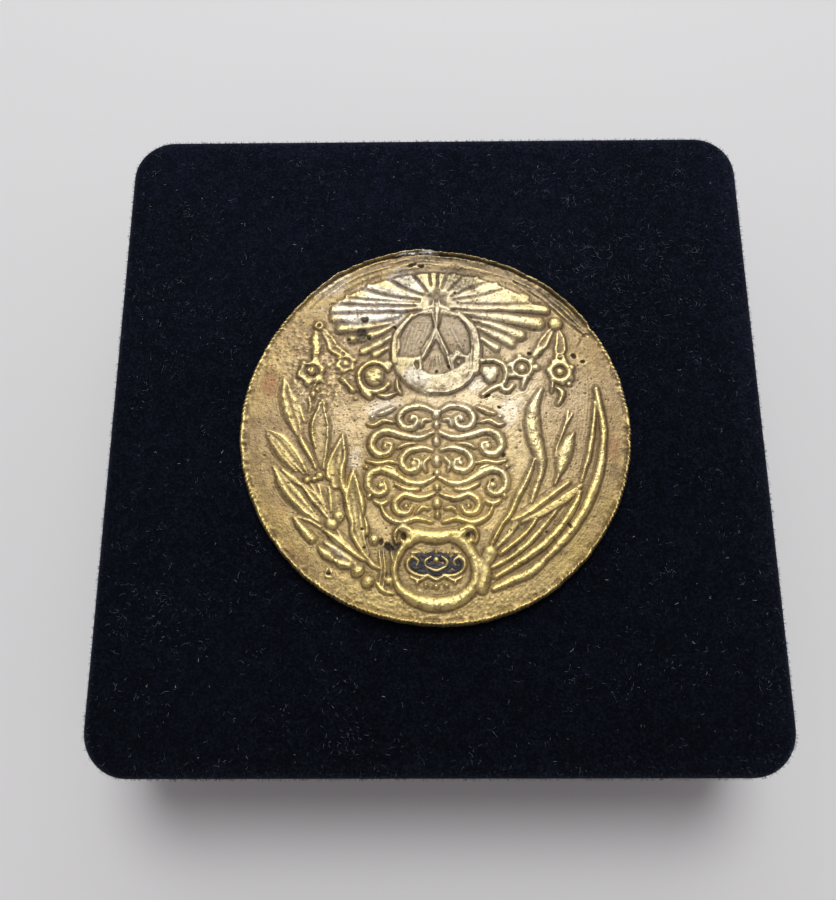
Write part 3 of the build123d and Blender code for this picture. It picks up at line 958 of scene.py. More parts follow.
class Relief:
    """Heights over the coin's field at many places, built up from strokes, beads and cells."""

    def __init__(self, x, y):
        self.x = x
        self.y = y
        self.height = np.zeros(len(x))
        self.shade = np.zeros(len(x))
        self.gap = np.full(len(x), 9.0)

    def near(self, points, reach):
        """Indices of the places within reach of a set of points."""
        points = np.asarray(points, dtype=float)
        low = points.min(axis=0) - reach
        high = points.max(axis=0) + reach
        inside = (self.x > low[0]) & (self.x < high[0]) & (self.y > low[1]) & (self.y < high[1])
        return np.nonzero(inside)[0]

    def distance_to(self, index, line):
        """Distance from places to a line, and how far along the line the nearest point is."""
        px = self.x[index]
        py = self.y[index]
        best = np.full(len(index), 1e9)
        along = np.zeros(len(index))
        count = len(line) - 1
        for k in range(count):
            ax, ay = line[k]
            dx, dy = line[k + 1] - line[k]
            length = dx * dx + dy * dy + 1e-12
            t = np.clip(((px - ax) * dx + (py - ay) * dy) / length, 0, 1)
            d = np.hypot(px - ax - t * dx, py - ay - t * dy)
            closer = d < best
            best[closer] = d[closer]
            along[closer] = (k + t[closer]) / count
        return best, along

    def stroke(self, points, width, height=0.32, shape="round"):
        """Raised line. Width is one number, tapering at both ends, or one number for each point."""
        line = smooth_line(points)
        widest = np.max(width)
        index = self.near(line, widest * SPREAD / 2 + 0.9)
        if not len(index):
            return
        distance, along = self.distance_to(index, line)
        if np.ndim(width):
            half = np.interp(along, np.linspace(0, 1, len(width)), np.asarray(width) * SPREAD / 2)
        else:
            half = width * SPREAD / 2 * np.clip(np.sin(np.pi * (0.07 + 0.86 * along)), 0, 1) ** 0.45
        self.gap[index] = np.minimum(self.gap[index], np.maximum(distance - half, 0))
        share = np.clip(distance / np.maximum(half, 0.05), 0, 1)
        if shape == "round":
            rise = (1 - share ** 2) ** 0.8
        elif shape == "ridge":
            rise = (1 - share) ** 0.9
        elif shape == "flat":
            rise = 1 - smoothstep(0.55, 1.0, share)
        elif shape == "hollow":
            rise = (1 - smoothstep(0.8, 1.0, share)) * (0.35 + 0.65 * smoothstep(0.3, 0.75, share))
        tall = height * np.clip(half * 2 / (widest * SPREAD), 0.3, 1) ** 0.4
        self.height[index] = np.maximum(self.height[index], rise * tall)

    def bead(self, centre, radius, height=0.4, stretch=1.0, angle=0.0):
        """Raised dome, drawn out along an angle."""
        index = self.near([centre], radius * max(stretch, 1))
        share = oval_distance(self.x[index], self.y[index], centre, stretch, angle) / radius
        rise = np.sqrt(np.clip(1 - share ** 2, 0, 1))
        self.height[index] = np.maximum(self.height[index], rise * height)

    def strokes(self, rows):
        """Several strokes; a row is what one stroke takes."""
        for row in rows:
            self.stroke(*row)

    def beads(self, rows):
        """Several beads; a row is what one bead takes."""
        for row in rows:
            self.bead(*row)

    def dots(self, rows, height):
        """Round beads of one height; a row is x, y and radius."""
        for x, y, radius in rows:
            self.bead((x, y), radius, height)

    def ring(self, centre, radius, width, height=0.32, start=0.0, sweep=360.0):
        """Raised circle, or part of one."""
        steps = max(4, int(abs(sweep) / 24))
        points = circle(centre, radius, radius, start + sweep * np.arange(steps + 1) / steps)
        self.stroke(points, [width] * len(points), height)

    def rosette(self, centre, radius, petals, height=0.34, turn=0.0):
        """Round boss in a ring of petals."""
        self.bead(centre, radius * 0.34, height * 1.1)
        self.ring(centre, radius * 0.66, radius * 0.34, height * 0.8)
        reach = radius * 0.78
        for place in circle(centre, reach, reach, [turn + 360 * k / petals for k in range(petals)]):
            self.bead(place, radius * 0.3, height)

    def cell_share(self, outline, soft):
        """How far inside a closed outline each place is: indices and 0 to 1 over a soft border."""
        outline = np.asarray(outline, dtype=float)
        closed = np.vstack([outline, outline[:1]])
        index = self.near(outline, soft)
        distance, _ = self.distance_to(index, closed)
        inside = np.zeros(len(index), dtype=bool)
        px = self.x[index]
        py = self.y[index]
        for (x0, y0), (x1, y1) in zip(closed[:-1], closed[1:]):
            crosses = (y0 > py) != (y1 > py)
            slope = (x1 - x0) / (y1 - y0 + 1e-12)
            inside ^= crosses & (px < x0 + (py - y0) * slope)
        signed = np.where(inside, distance, -distance)
        return index, smoothstep(-soft / 2, soft / 2, signed)

    def plate(self, outline, height, soft=0.25):
        """Flat raised area with a soft border."""
        index, share = self.cell_share(outline, soft)
        self.height[index] = np.maximum(self.height[index], share * height)

    def cell(self, outline, floor, soft=0.22):
        """Sunken area inside raised work."""
        index, share = self.cell_share(outline, soft)
        self.height[index] = self.height[index] * (1 - share) + np.minimum(self.height[index], floor) * share
        self.shade[index] = np.maximum(self.shade[index], share)

    def groove(self, points, width, depth):
        """Narrow line cut downwards."""
        line = smooth_line(points)
        index = self.near(line, np.max(width))
        distance, along = self.distance_to(index, line)
        half = width / 2 * np.clip(np.sin(np.pi * (0.1 + 0.8 * along)), 0, 1) ** 0.4
        self.height[index] -= depth * np.exp(-(distance / half) ** 2)


def mirrored(points, axis):
    """The same points on the other side of an upright line."""
    return [(2 * axis - x, y) for x, y in points]


# the fan's crests: points, widths and height; the first ten narrow at their outer end
RAYS = [
    ([(-0.8, 18.0), (-4, 18.05), (-8, 18.4), (-11.9, 18.9)], [0.2, 0.6, 0.8, 0.6], 0.30),
    ([(-1.2, 18.9), (-4.5, 19.6), (-9.0, 20.4)], [0.2, 0.7, 0.9], 0.31),
    ([(-0.6, 19.0), (-2.6, 20.2), (-5.0, 21.4)], [0.2, 0.8, 1.0], 0.30),
    ([(-0.3, 19.4), (-1.4, 21.9)], [0.2, 0.7], 0.29),
    ([(0.2, 19.6), (0.0, 22.1)], [0.2, 0.7], 0.30),
    ([(0.8, 19.5), (1.1, 22.0)], [0.2, 0.6], 0.28),
    ([(1.2, 19.2), (2.9, 21.9)], [0.2, 1.0], 0.30),
    ([(1.8, 19.0), (5.9, 21.4)], [0.2, 1.2], 0.28),
    ([(2.2, 18.7), (5.4, 19.6), (8.6, 20.5)], [0.2, 0.9, 1.0], 0.30),
    ([(2.2, 18.0), (7.6, 18.3), (12.6, 18.5)], [0.4, 1.4, 1.8], 0.26),
    ([(1.4, 17.3), (5, 16.95), (10, 16.85), (15.2, 16.6)], [0.3, 0.6, 0.8, 0.9], 0.36),
    ([(3.0, 16.6), (5, 16.15), (9.5, 15.5), (14.1, 14.7)], [0.2, 0.7, 1.2, 1.4], 0.34),
    ([(5.2, 15.3), (8.3, 14.4), (11.6, 13.0)], [0.3, 0.9, 1.2], 0.34),
    ([(5.8, 14.3), (8.1, 13.2), (10.4, 12.0)], [0.3, 0.9, 1.1], 0.30),
    ([(6.4, 12.6), (8.4, 11.2)], [0.4, 0.9], 0.24),
    ([(-1.5, 17.1), (-5, 16.95), (-9, 16.9), (-13.7, 16.8)], [0.3, 0.7, 0.9, 0.7], 0.34),
    ([(-4.9, 16.0), (-9, 15.6), (-13.6, 15.7)], [0.5, 1.4, 1.0], 0.24),
    ([(-5.8, 14.9), (-9, 14.4), (-12.8, 14.0)], [0.3, 0.8, 1.0], 0.18),
    ([(-5.4, 14.5), (-8.2, 13.2), (-11.2, 12.6)], [0.3, 0.9, 0.9], 0.30),
    ([(-5.9, 12.9), (-7.5, 11.9), (-9.6, 10.8)], [0.3, 0.9, 0.8], 0.24),
    ([(-6.3, 11.3), (-8.0, 10.3)], [0.4, 0.8], 0.22),
]


# grooves between the rays: points and width
RAY_GAPS = [
    ([(-13.9, 17.75), (-9.5, 17.5), (-2.6, 17.35)], 0.55),
    ([(-11.8, 18.6), (-8.3, 18.25), (-2.0, 17.9)], 0.35),
    ([(-10.0, 20.0), (-6.0, 18.8), (-1.9, 18.2)], 0.55),
    ([(-6.3, 21.3), (-3.9, 19.9), (-1.5, 18.9)], 0.55),
    ([(-2.9, 22.0), (-1.9, 20.8), (-0.9, 19.4)], 0.50),
    ([(-0.6, 22.3), (-0.35, 20.3)], 0.36),
    ([(0.6, 22.3), (0.5, 20.2)], 0.40),
    ([(1.8, 22.0), (1.1, 19.8)], 0.50),
    ([(4.2, 21.9), (2.0, 19.5)], 0.50),
    ([(7.6, 21.0), (4.7, 19.8), (2.3, 18.7)], 0.50),
    ([(10.0, 19.9), (6.0, 18.75), (2.6, 18.2)], 0.45),
    ([(14.5, 17.7), (9.5, 17.5), (3.2, 17.6)], 0.40),
]


def sunburst(relief):
    """Raised fan with rays parted by narrow grooves, and loose ridges below it on both sides."""
    arc = circle((0, 0), 22.25, 22.25, range(52, 126, 6))
    fan = [(2.0, 17.2), (15.3, 16.4), (15.2, 17.2)] + arc + [(-13.9, 17.6), (-14.2, 16.4), (-4.5, 16.5)]
    relief.plate(fan, 0.27, 0.4)
    for k, (points, widths, height) in enumerate(RAYS):
        tapered = np.array(widths) * 1.1
        tapered[-1] *= 0.55 if k < 10 else 1.0
        relief.stroke(points, tapered, max(height, 0.26) + 0.02)
    for points, width in RAY_GAPS:
        relief.groove(points, width * 0.8, 0.22 if points[0][0] < 1 else 0.13)
    relief.groove(circle((0, 0), 23.0, 23.0, range(50, 128, 6)), 0.6, 0.10)
    star = [(0.5, 20.0), (0.9, 19.1), (1.8, 19.0), (1.3, 18.3), (1.5, 17.5), (0.5, 17.9), (-0.5, 17.4),
            (-0.4, 18.4), (-1.1, 19.0), (-0.1, 19.1)]
    relief.cell(star, 0.0, 1.0)


# openings of the round plate: left, right, arch, eye and notch
MOON_CELLS = [
    [(-2.1, 16.1), (-0.45, 16.15), (-0.1, 14.9), (0.0, 14.1), (-0.4, 13.2), (-1.2, 12.0), (-1.8, 11.0),
     (-1.7, 10.3), (-2.3, 9.95), (-4.0, 10.0), (-4.75, 10.0), (-4.9, 10.5), (-4.55, 11.3), (-4.6, 12.6),
     (-4.2, 14.0), (-3.4, 15.2)],
    [(1.1, 16.15), (2.2, 16.0), (3.2, 15.7), (4.2, 14.7), (4.8, 13.2), (4.9, 11.8), (4.8, 10.5),
     (4.4, 10.1), (3.9, 10.3), (3.4, 10.9), (2.9, 10.9), (2.5, 10.4), (2.0, 10.2), (1.75, 10.9),
     (1.3, 12.0), (0.5, 13.6), (0.6, 14.3), (0.85, 15.2)],
    [(0.25, 12.5), (0.65, 11.7), (1.0, 10.8), (1.6, 9.7), (2.0, 9.0), (2.2, 8.0), (1.4, 7.65),
     (0.3, 7.45), (-0.8, 7.6), (-1.5, 8.0), (-1.65, 9.0), (-1.2, 9.9), (-0.7, 10.8), (-0.2, 11.7)],
    [(2.6, 9.2), (3.05, 9.9), (4.05, 9.75), (3.9, 9.1), (3.2, 8.45), (2.75, 8.2)],
    [(-2.7, 9.0), (-2.1, 9.4), (-2.0, 8.5), (-2.3, 8.1)],
]


def crescent(relief):
    """Round plate that thins upwards into two horns, with sunken cells and a pointed arch."""
    outline = circle((0.3, 10.85), 6.15, 6.15, np.arange(48) * 7.5)
    relief.plate(outline, 0.27, 0.5)
    index = relief.near(outline, 0)
    inside = smoothstep(0.1, 0.26, relief.height[index]) * (relief.y[index] < 16.4)
    rough = layered_noise(relief.x[index], relief.y[index], 1.3, 61, 3)
    relief.height[index] += 0.12 * rough * inside
    relief.shade[index] = np.maximum(relief.shade[index], (0.55 + 0.5 * rough) * inside)
    relief.stroke([(-1.4, 16.9), (-0.2, 17.3), (0.0, 18.2)], [0.8, 0.6, 0.3], 0.36)
    relief.stroke([(2.0, 16.8), (0.9, 17.3), (0.7, 18.2)], [0.8, 0.6, 0.3], 0.36)
    for opening in MOON_CELLS:
        relief.cell(opening, 0.10)
    relief.bead((3.3, 9.15), 0.36, 0.28)
    relief.strokes([
        ([(0.4, 16.8), (0.38, 15.2), (0.35, 13.9)], [1.1, 0.7, 0.4], 0.48),
        ([(0.3, 13.9), (-0.4, 12.2), (-1.05, 10.9), (-1.6, 9.8)], [0.3, 0.7, 0.8, 0.6], 0.44),
        ([(0.4, 13.8), (1.0, 12.2), (1.7, 10.5), (2.15, 8.4)], [0.3, 0.6, 0.65, 0.5], 0.44),
        ([(1.9, 14.7), (2.8, 13.0), (3.9, 10.9)], [0.15, 0.25, 0.3], 0.24, "ridge"),
        ([(1.5, 15.4), (2.0, 13.6), (2.3, 11.6)], 0.2, 0.16, "ridge"),
    ])
    for k in range(6):
        x = -4.0 + 0.55 * k
        relief.stroke([(x, 10.6 + 0.2 * k), (x + 0.6, 12.6), (x + 1.3, 14.6)], 0.26, 0.22, "ridge")
    for x in (-0.9, -0.3, 0.4, 1.0):
        relief.stroke([(x, 8.2), (0.15 + x * 0.4, 10.6)], 0.26, 0.24, "ridge")
    relief.strokes([
        ([(-0.8, 5.15), (1.5, 5.0), (3.5, 5.75), (4.8, 7.0), (5.5, 8.4)], 0.5, 0.46, "ridge"),
        ([(5.5, 8.0), (5.7, 11.5), (5.2, 14.0), (3.4, 16.1)], [1.0, 1.1, 1.0, 0.6], 0.40, "flat"),
        ([(-5.3, 9.3), (-5.4, 11.5), (-4.9, 13.6), (-3.0, 16.0)], [0.9, 0.75, 0.75, 0.6], 0.38, "flat"),
    ])


def left_garland(relief):
    """Ring, rosettes and hanging strands left of the crescent."""
    relief.ring((-8.0, 7.2), 2.1, 0.62, 0.34, 30, 300)
    relief.bead((-8.05, 7.3), 1.4, 0.36)
    for place in circle((-8.05, 7.3), 0.7, 0.7, range(30, 390, 72)):
        relief.bead(place, 0.45, 0.44)
    relief.strokes([
        ([(-9.9, 6.0), (-9.3, 5.2), (-8.6, 4.5)], [0.4, 1.0, 0.8], 0.42),
        ([(-7.4, 4.6), (-6.3, 4.5), (-5.2, 4.9)], 0.6, 0.42),
        ([(-5.0, 6.7), (-4.9, 5.6), (-4.4, 4.8)], 0.55, 0.40),
        ([(-12.15, 6.85), (-11.5, 6.1), (-10.9, 5.35)], [0.7, 0.45, 0.7], 0.34),
    ])
    relief.rosette((-11.9, 9.2), 1.45, 6, 0.20, 20)
    relief.rosette((-16.4, 8.0), 1.95, 6, 0.28, 12)
    relief.ring((-15.6, 14.6), 0.45, 0.45, 0.30)
    relief.strokes([
        ([(-16.0, 13.9), (-16.0, 12.6), (-15.8, 11.0), (-15.9, 9.6)], [0.4, 0.9, 1.0, 0.7], 0.24, "flat"),
        ([(-15.0, 13.9), (-14.2, 12.7), (-13.4, 11.3), (-12.3, 10.5)], [0.4, 0.9, 1.2, 0.8], 0.28, "hollow"),
        ([(-15.9, 6.1), (-15.3, 6.9), (-14.6, 6.4)], 0.5, 0.30),
    ])
    relief.bead((-15.5, 5.45), 0.36, 0.32)
    relief.bead((-16.1, 4.85), 0.36, 0.34)
    relief.stroke([(-16.6, 4.4), (-16.4, 3.2), (-16.6, 2.4)], 0.4, 0.2)
    relief.bead((-10.5, 4.2), 0.3, 0.2)
    relief.bead((-6.1, 9.0), 0.45, 0.26, 1.5, -30)


def right_garland(relief):
    """Heart, ring, rosettes and hanging strands right of the crescent."""
    relief.beads([
        ((6.95, 7.85), 0.85, 0.36),
        ((7.85, 7.85), 0.8, 0.34),
        ((7.4, 7.1), 0.9, 0.40, 1.1, 90),
    ])
    relief.stroke([(6.4, 9.4), (7.8, 9.5), (9.1, 8.9), (9.6, 7.8), (9.35, 6.6), (8.8, 6.0), (7.6, 5.5),
                   (6.4, 4.6)], [0.5, 0.6, 0.7, 0.7, 0.6, 0.5, 0.55, 0.5], 0.40)
    relief.stroke([(9.15, 6.3), (9.0, 5.5), (9.7, 5.2), (10.4, 5.9)], [0.5, 0.65, 0.6, 0.5], 0.36)
    relief.bead((11.65, 8.3), 0.62, 0.44)
    relief.ring((11.7, 8.35), 1.25, 0.55, 0.36)
    relief.dots([(10.2, 8.8, 0.5), (10.35, 7.3, 0.5), (12.9, 9.2, 0.55), (13.6, 8.4, 0.5),
                 (11.4, 9.9, 0.5), (12.5, 7.2, 0.45)], 0.36)
    relief.stroke([(12.4, 7.2), (11.9, 6.4), (11.7, 5.5)], [0.6, 0.65, 0.4], 0.36)
    relief.bead((16.75, 7.75), 0.55, 0.40)
    relief.ring((16.75, 7.75), 1.25, 0.75, 0.38)
    for place in circle((16.8, 7.8), 1.5, 1.5, [20 + 360 * k / 7 for k in range(7)]):
        relief.bead(place, 0.5, 0.34)
    relief.ring((16.8, 9.75), 0.5, 0.4, 0.34)
    relief.bead((16.4, 14.6), 0.95, 0.46)
    relief.strokes([
        ([(16.0, 13.9), (15.4, 13.0), (14.7, 11.9), (14.2, 11.1)], [0.4, 0.8, 1.1, 0.8], 0.28, "hollow"),
        ([(14.4, 11.2), (13.9, 10.7), (13.4, 10.1)], [0.5, 1.0, 0.8], 0.36),
        ([(16.75, 13.9), (17.0, 12.4), (16.9, 11.0), (16.7, 10.2)], [0.35, 1.0, 1.3, 0.9], 0.30, "hollow"),
        ([(15.75, 6.5), (15.6, 5.6), (15.45, 4.9)], 0.45, 0.32),
        ([(16.3, 5.5), (16.9, 4.9), (16.7, 4.0), (16.25, 3.3)], [0.4, 0.7, 0.6, 0.4], 0.36),
    ])
    relief.bead((18.2, 6.8), 0.45, 0.24)
    relief.bead((17.9, 6.1), 0.4, 0.22)


# broad leaves: points and widths
LAUREL_LEAVES = [
    ([(-20.1, 7.0), (-19.4, 4.4), (-18.7, 2.2), (-17.7, -0.6)], [0.2, 1.7, 1.9, 0.5]),
    ([(-22.1, -0.1), (-20.3, -1.7), (-18.9, -3.4), (-17.0, -5.8)], [0.2, 1.6, 1.8, 0.5]),
    ([(-12.1, -0.8), (-12.7, -3.2), (-13.0, -5.0), (-12.9, -7.4)], [0.2, 1.2, 1.5, 1.2]),
    ([(-10.5, -5.7), (-10.5, -8.0), (-10.1, -10.5), (-9.7, -13.4), (-8.7, -16.4)],
     [0.2, 1.0, 1.2, 1.2, 0.5]),
    ([(-21.0, -5.0), (-19.7, -7.0), (-18.0, -9.0), (-15.0, -12.0)], [0.2, 1.5, 1.7, 0.5]),
    ([(-17.3, -7.2), (-15.4, -9.3), (-13.6, -11.7)], [0.3, 1.3, 0.4]),
    ([(-14.2, -13.2), (-12.2, -14.8), (-9.3, -17.0)], [0.3, 1.3, 0.4]),
]


# leaf edges, stems and small leaves: what one stroke takes
LAUREL_LINES = [
    ([(-20.1, 6.9), (-20.0, 4.6), (-19.4, 2.3), (-18.1, -0.8)], [0.3, 1.1, 1.25, 0.4], 0.30, "ridge"),
    ([(-19.8, 6.7), (-18.9, 4.9), (-17.9, 3.0), (-17.2, 1.1)], [0.2, 0.8, 0.8, 0.4], 0.28, "ridge"),
    ([(-17.6, -1.2), (-17.0, -2.3), (-16.2, -3.7), (-15.5, -5.3)], [0.7, 0.6, 0.5, 0.3], 0.28),
    ([(-15.0, 3.7), (-15.1, 0.5), (-15.0, -3.0), (-14.6, -5.2)], [0.4, 1.9, 1.7, 0.5], 0.14, "flat"),
    ([(-14.9, 4.1), (-14.45, 2.4), (-14.05, 0.2), (-14.2, -2.6), (-14.5, -5.3)],
     [0.3, 0.45, 0.5, 0.45, 0.3], 0.38, "ridge"),
    ([(-15.1, 3.6), (-15.7, 2.0), (-16.1, 0.8), (-16.0, -0.9), (-15.6, -2.5)],
     [0.3, 0.4, 0.55, 0.5, 0.3], 0.32),
    ([(-21.8, -0.1), (-20.0, -1.0), (-18.5, -2.7), (-17.2, -4.7), (-16.5, -6.0)],
     [0.2, 0.9, 1.0, 0.8, 0.3], 0.28, "ridge"),
    ([(-22.1, -0.5), (-20.9, -2.3), (-19.5, -4.1), (-18.0, -5.6)], [0.2, 1.1, 1.1, 0.3], 0.24, "ridge"),
    ([(-12.1, -0.8), (-11.9, -2.2), (-11.75, -3.7), (-12.15, -5.4), (-12.1, -7.0), (-11.6, -8.4)],
     [0.3, 0.5, 0.5, 0.75, 0.8, 0.7], 0.42),
    ([(-12.2, -1.0), (-12.8, -2.4), (-13.4, -3.6), (-13.9, -5.0), (-13.9, -6.4)],
     [0.2, 0.5, 0.5, 0.5, 0.5], 0.34),
    ([(-11.6, -8.2), (-11.3, -9.6), (-11.0, -11.1), (-10.6, -12.3), (-10.6, -13.7), (-9.9, -15.1),
      (-9.0, -16.5), (-7.6, -17.9)], [0.6, 0.8, 0.9, 0.7, 0.6, 0.6, 0.5, 0.3], 0.42),
    ([(-10.6, -5.5), (-10.95, -6.9), (-11.3, -8.2), (-11.35, -9.4)], [0.3, 0.6, 0.6, 0.6], 0.40),
    ([(-10.5, -5.6), (-10.15, -7.1), (-9.8, -8.5), (-9.45, -9.9), (-9.3, -11.2)],
     [0.3, 0.45, 0.55, 0.8, 0.4], 0.42),
    ([(-9.05, -11.8), (-8.8, -12.8), (-8.75, -13.7)], [0.3, 0.5, 0.6], 0.34),
    ([(-21.0, -5.0), (-20.1, -6.8), (-19.0, -8.6), (-17.6, -10.1), (-16.0, -11.4), (-14.8, -12.3)],
     [0.2, 0.9, 1.2, 1.1, 0.9, 0.4], 0.30, "ridge"),
    ([(-19.9, -5.4), (-18.6, -6.5), (-17.4, -7.4)], [0.3, 1.0, 0.5], 0.30),
    ([(-17.4, -7.3), (-16.2, -8.8), (-15.2, -10.0), (-13.7, -11.8)], [0.3, 0.5, 0.5, 0.3], 0.28, "ridge"),
    ([(-16.1, -7.3), (-14.9, -9.1), (-14.1, -10.6), (-13.5, -11.5)], 0.38, 0.22, "ridge"),
    ([(-15.1, -7.4), (-14.6, -9.0), (-13.9, -10.4)], 0.34, 0.22, "ridge"),
    ([(-13.7, -7.8), (-13.5, -9.4), (-13.4, -10.8)], [0.3, 0.5, 0.4], 0.18),
    ([(-18.1, -11.7), (-17.4, -12.6), (-16.6, -13.6), (-15.8, -14.5)], [0.3, 0.8, 0.9, 0.9], 0.32),
    ([(-17.7, -11.6), (-16.1, -12.1), (-14.6, -12.9)], [0.2, 0.5, 0.4], 0.22, "ridge"),
    ([(-14.2, -13.3), (-12.8, -14.3), (-11.4, -15.5), (-10.0, -16.5), (-9.1, -17.1)],
     [0.3, 0.65, 0.65, 0.6, 0.3], 0.36),
    ([(-12.6, -13.4), (-11.6, -14.7), (-10.5, -15.9)], 0.4, 0.22, "ridge"),
    ([(-14.0, -15.0), (-12.4, -16.0), (-10.2, -17.6)], [0.4, 0.9, 0.6], 0.20),
    ([(-14.7, -15.7), (-13.9, -16.3), (-13.1, -16.9)], [0.5, 1.1, 0.7], 0.44),
    ([(-12.7, -17.2), (-11.9, -17.6), (-11.0, -17.8)], [0.4, 1.0, 0.7], 0.44),
    ([(-9.0, -17.1), (-8.0, -17.8), (-7.1, -18.2)], 0.4, 0.28),
]


def left_branch(relief):
    """Laurel branch: long leaves, berries, stems, and the tie at its foot."""
    for points, widths in LAUREL_LEAVES:
        relief.stroke(points, widths, 0.22, "flat")
        relief.groove(points, 0.34, 0.08)
    relief.strokes(LAUREL_LINES)
    relief.dots([(-16.6, -6.8, 0.5), (-15.0, -6.3, 0.55), (-15.7, -6.7, 0.35), (-13.7, -6.5, 0.4),
                 (-12.4, -11.6, 0.75), (-7.85, -14.6, 0.7)], 0.34)
    relief.beads([
        ((-13.3, -12.6), 0.7, 0.34, 1.25, -40),
        ((-9.85, -18.5), 0.75, 0.5, 1.2, 28),
        ((-8.55, -19.8), 0.78, 0.52, 1.15, 50),
    ])
    for x in (-7.05, -6.55, -5.6):
        relief.stroke([(x - 0.1, -16.1), (x + 0.15, -18.2), (x - 0.1, -20.6)], 0.42, 0.26, "ridge")
    relief.bead((-5.95, -19.8), 0.5, 0.34)
    relief.stroke([(-7.4, -20.0), (-6.7, -20.9), (-5.4, -21.4)], 0.5, 0.26)
    for points in ([(-14.0, -18.8), (-13.6, -18.1)], [(-13.4, -18.2), (-12.9, -19.1)],
                   [(-14.0, -19.1), (-13.1, -19.3)]):
        relief.stroke(points, 0.28, 0.16, "ridge")


# blades and folds: what one stroke takes
PALM_BLADES = [
    ([(14.15, 5.4), (13.5, 4.0), (12.95, 2.6), (12.8, 0.4), (13.1, -1.8), (13.7, -4.2), (13.65, -6.0),
      (12.9, -8.0), (12.3, -9.8)], [0.4, 0.9, 1.4, 1.7, 1.6, 1.1, 0.6, 0.6, 0.5], 0.46),
    ([(12.9, -4.2), (11.8, -6.8), (10.6, -9.0), (9.4, -11.5), (8.3, -12.9), (7.1, -15.1)],
     [0.3, 0.65, 0.65, 0.6, 0.6, 0.5], 0.42),
    ([(18.1, -0.6), (17.4, -2.0), (16.8, -3.5), (16.3, -5.2), (15.9, -6.3)],
     [0.3, 1.3, 1.6, 1.1, 0.5], 0.36),
    ([(15.9, -6.3), (15.4, -7.5)], [0.4, 0.3], 0.3),
    ([(17.6, 2.3), (17.1, 0.5), (16.4, -1.3), (15.8, -2.8), (15.6, -3.9)], 0.4, 0.26, "ridge"),
    ([(18.1, 2.0), (17.3, 0.6), (16.8, -0.6)], 0.36, 0.22, "ridge"),
    ([(21.4, 5.4), (21.7, 3.0), (22.05, 0.3), (21.9, -2.2), (21.3, -5.4), (20.1, -8.6), (18.6, -11.5),
      (16.4, -14.4), (13.4, -17.4)], [0.6, 0.8, 0.8, 0.75, 0.9, 1.1, 1.0, 0.95, 0.7], 0.40),
    ([(13.3, -17.6), (11.6, -18.9), (9.4, -19.8), (7.2, -20.8)], [0.7, 0.9, 0.8, 0.6], 0.32),
    ([(21.1, 3.6), (20.9, 1.2), (20.4, -1.6), (19.8, -4.1), (18.8, -7.1)],
     [0.3, 0.5, 0.6, 0.6, 0.3], 0.32),
    ([(9.7, -12.15), (11.3, -11.5), (13.2, -10.2), (15.2, -8.7), (17.2, -7.2)],
     [0.4, 0.9, 1.0, 0.9, 0.5], 0.40, "ridge"),
    ([(10.9, -12.4), (13.1, -11.5), (15.0, -10.4), (17.0, -9.1), (18.7, -7.7)],
     [0.3, 0.8, 1.0, 1.1, 0.5], 0.26, "flat"),
    ([(18.6, -8.5), (17.7, -10.4), (16.0, -12.9), (13.8, -15.1), (11.2, -17.0), (7.5, -19.3)],
     [0.4, 0.8, 0.95, 0.95, 0.8, 0.5], 0.42),
    ([(15.8, -10.5), (14.1, -12.5), (12.1, -14.7), (9.8, -16.6), (7.1, -18.1)],
     [0.25, 0.45, 0.65, 0.6, 0.4], 0.30),
    ([(12.9, -12.0), (11.6, -13.6), (9.9, -15.0), (8.1, -16.4)], [0.3, 0.5, 0.5, 0.4], 0.32),
    ([(10.2, -12.6), (9.4, -13.8)], [0.7, 0.6], 0.16, "flat"),
    ([(9.2, -14.1), (7.8, -15.5)], [0.5, 0.5], 0.18),
]


def right_branch(relief):
    """Palm branch: long curved blades, a folded leaf and an ear of grain."""
    relief.strokes(PALM_BLADES)
    rng = np.random.default_rng(5)
    for k in range(26):
        along = k / 25
        x = 18.0 - 1.9 * along + rng.uniform(-0.45, 0.45) * math.sin(math.pi * along)
        relief.bead((x, -0.9 - 5.0 * along), rng.uniform(0.16, 0.26), 0.40)


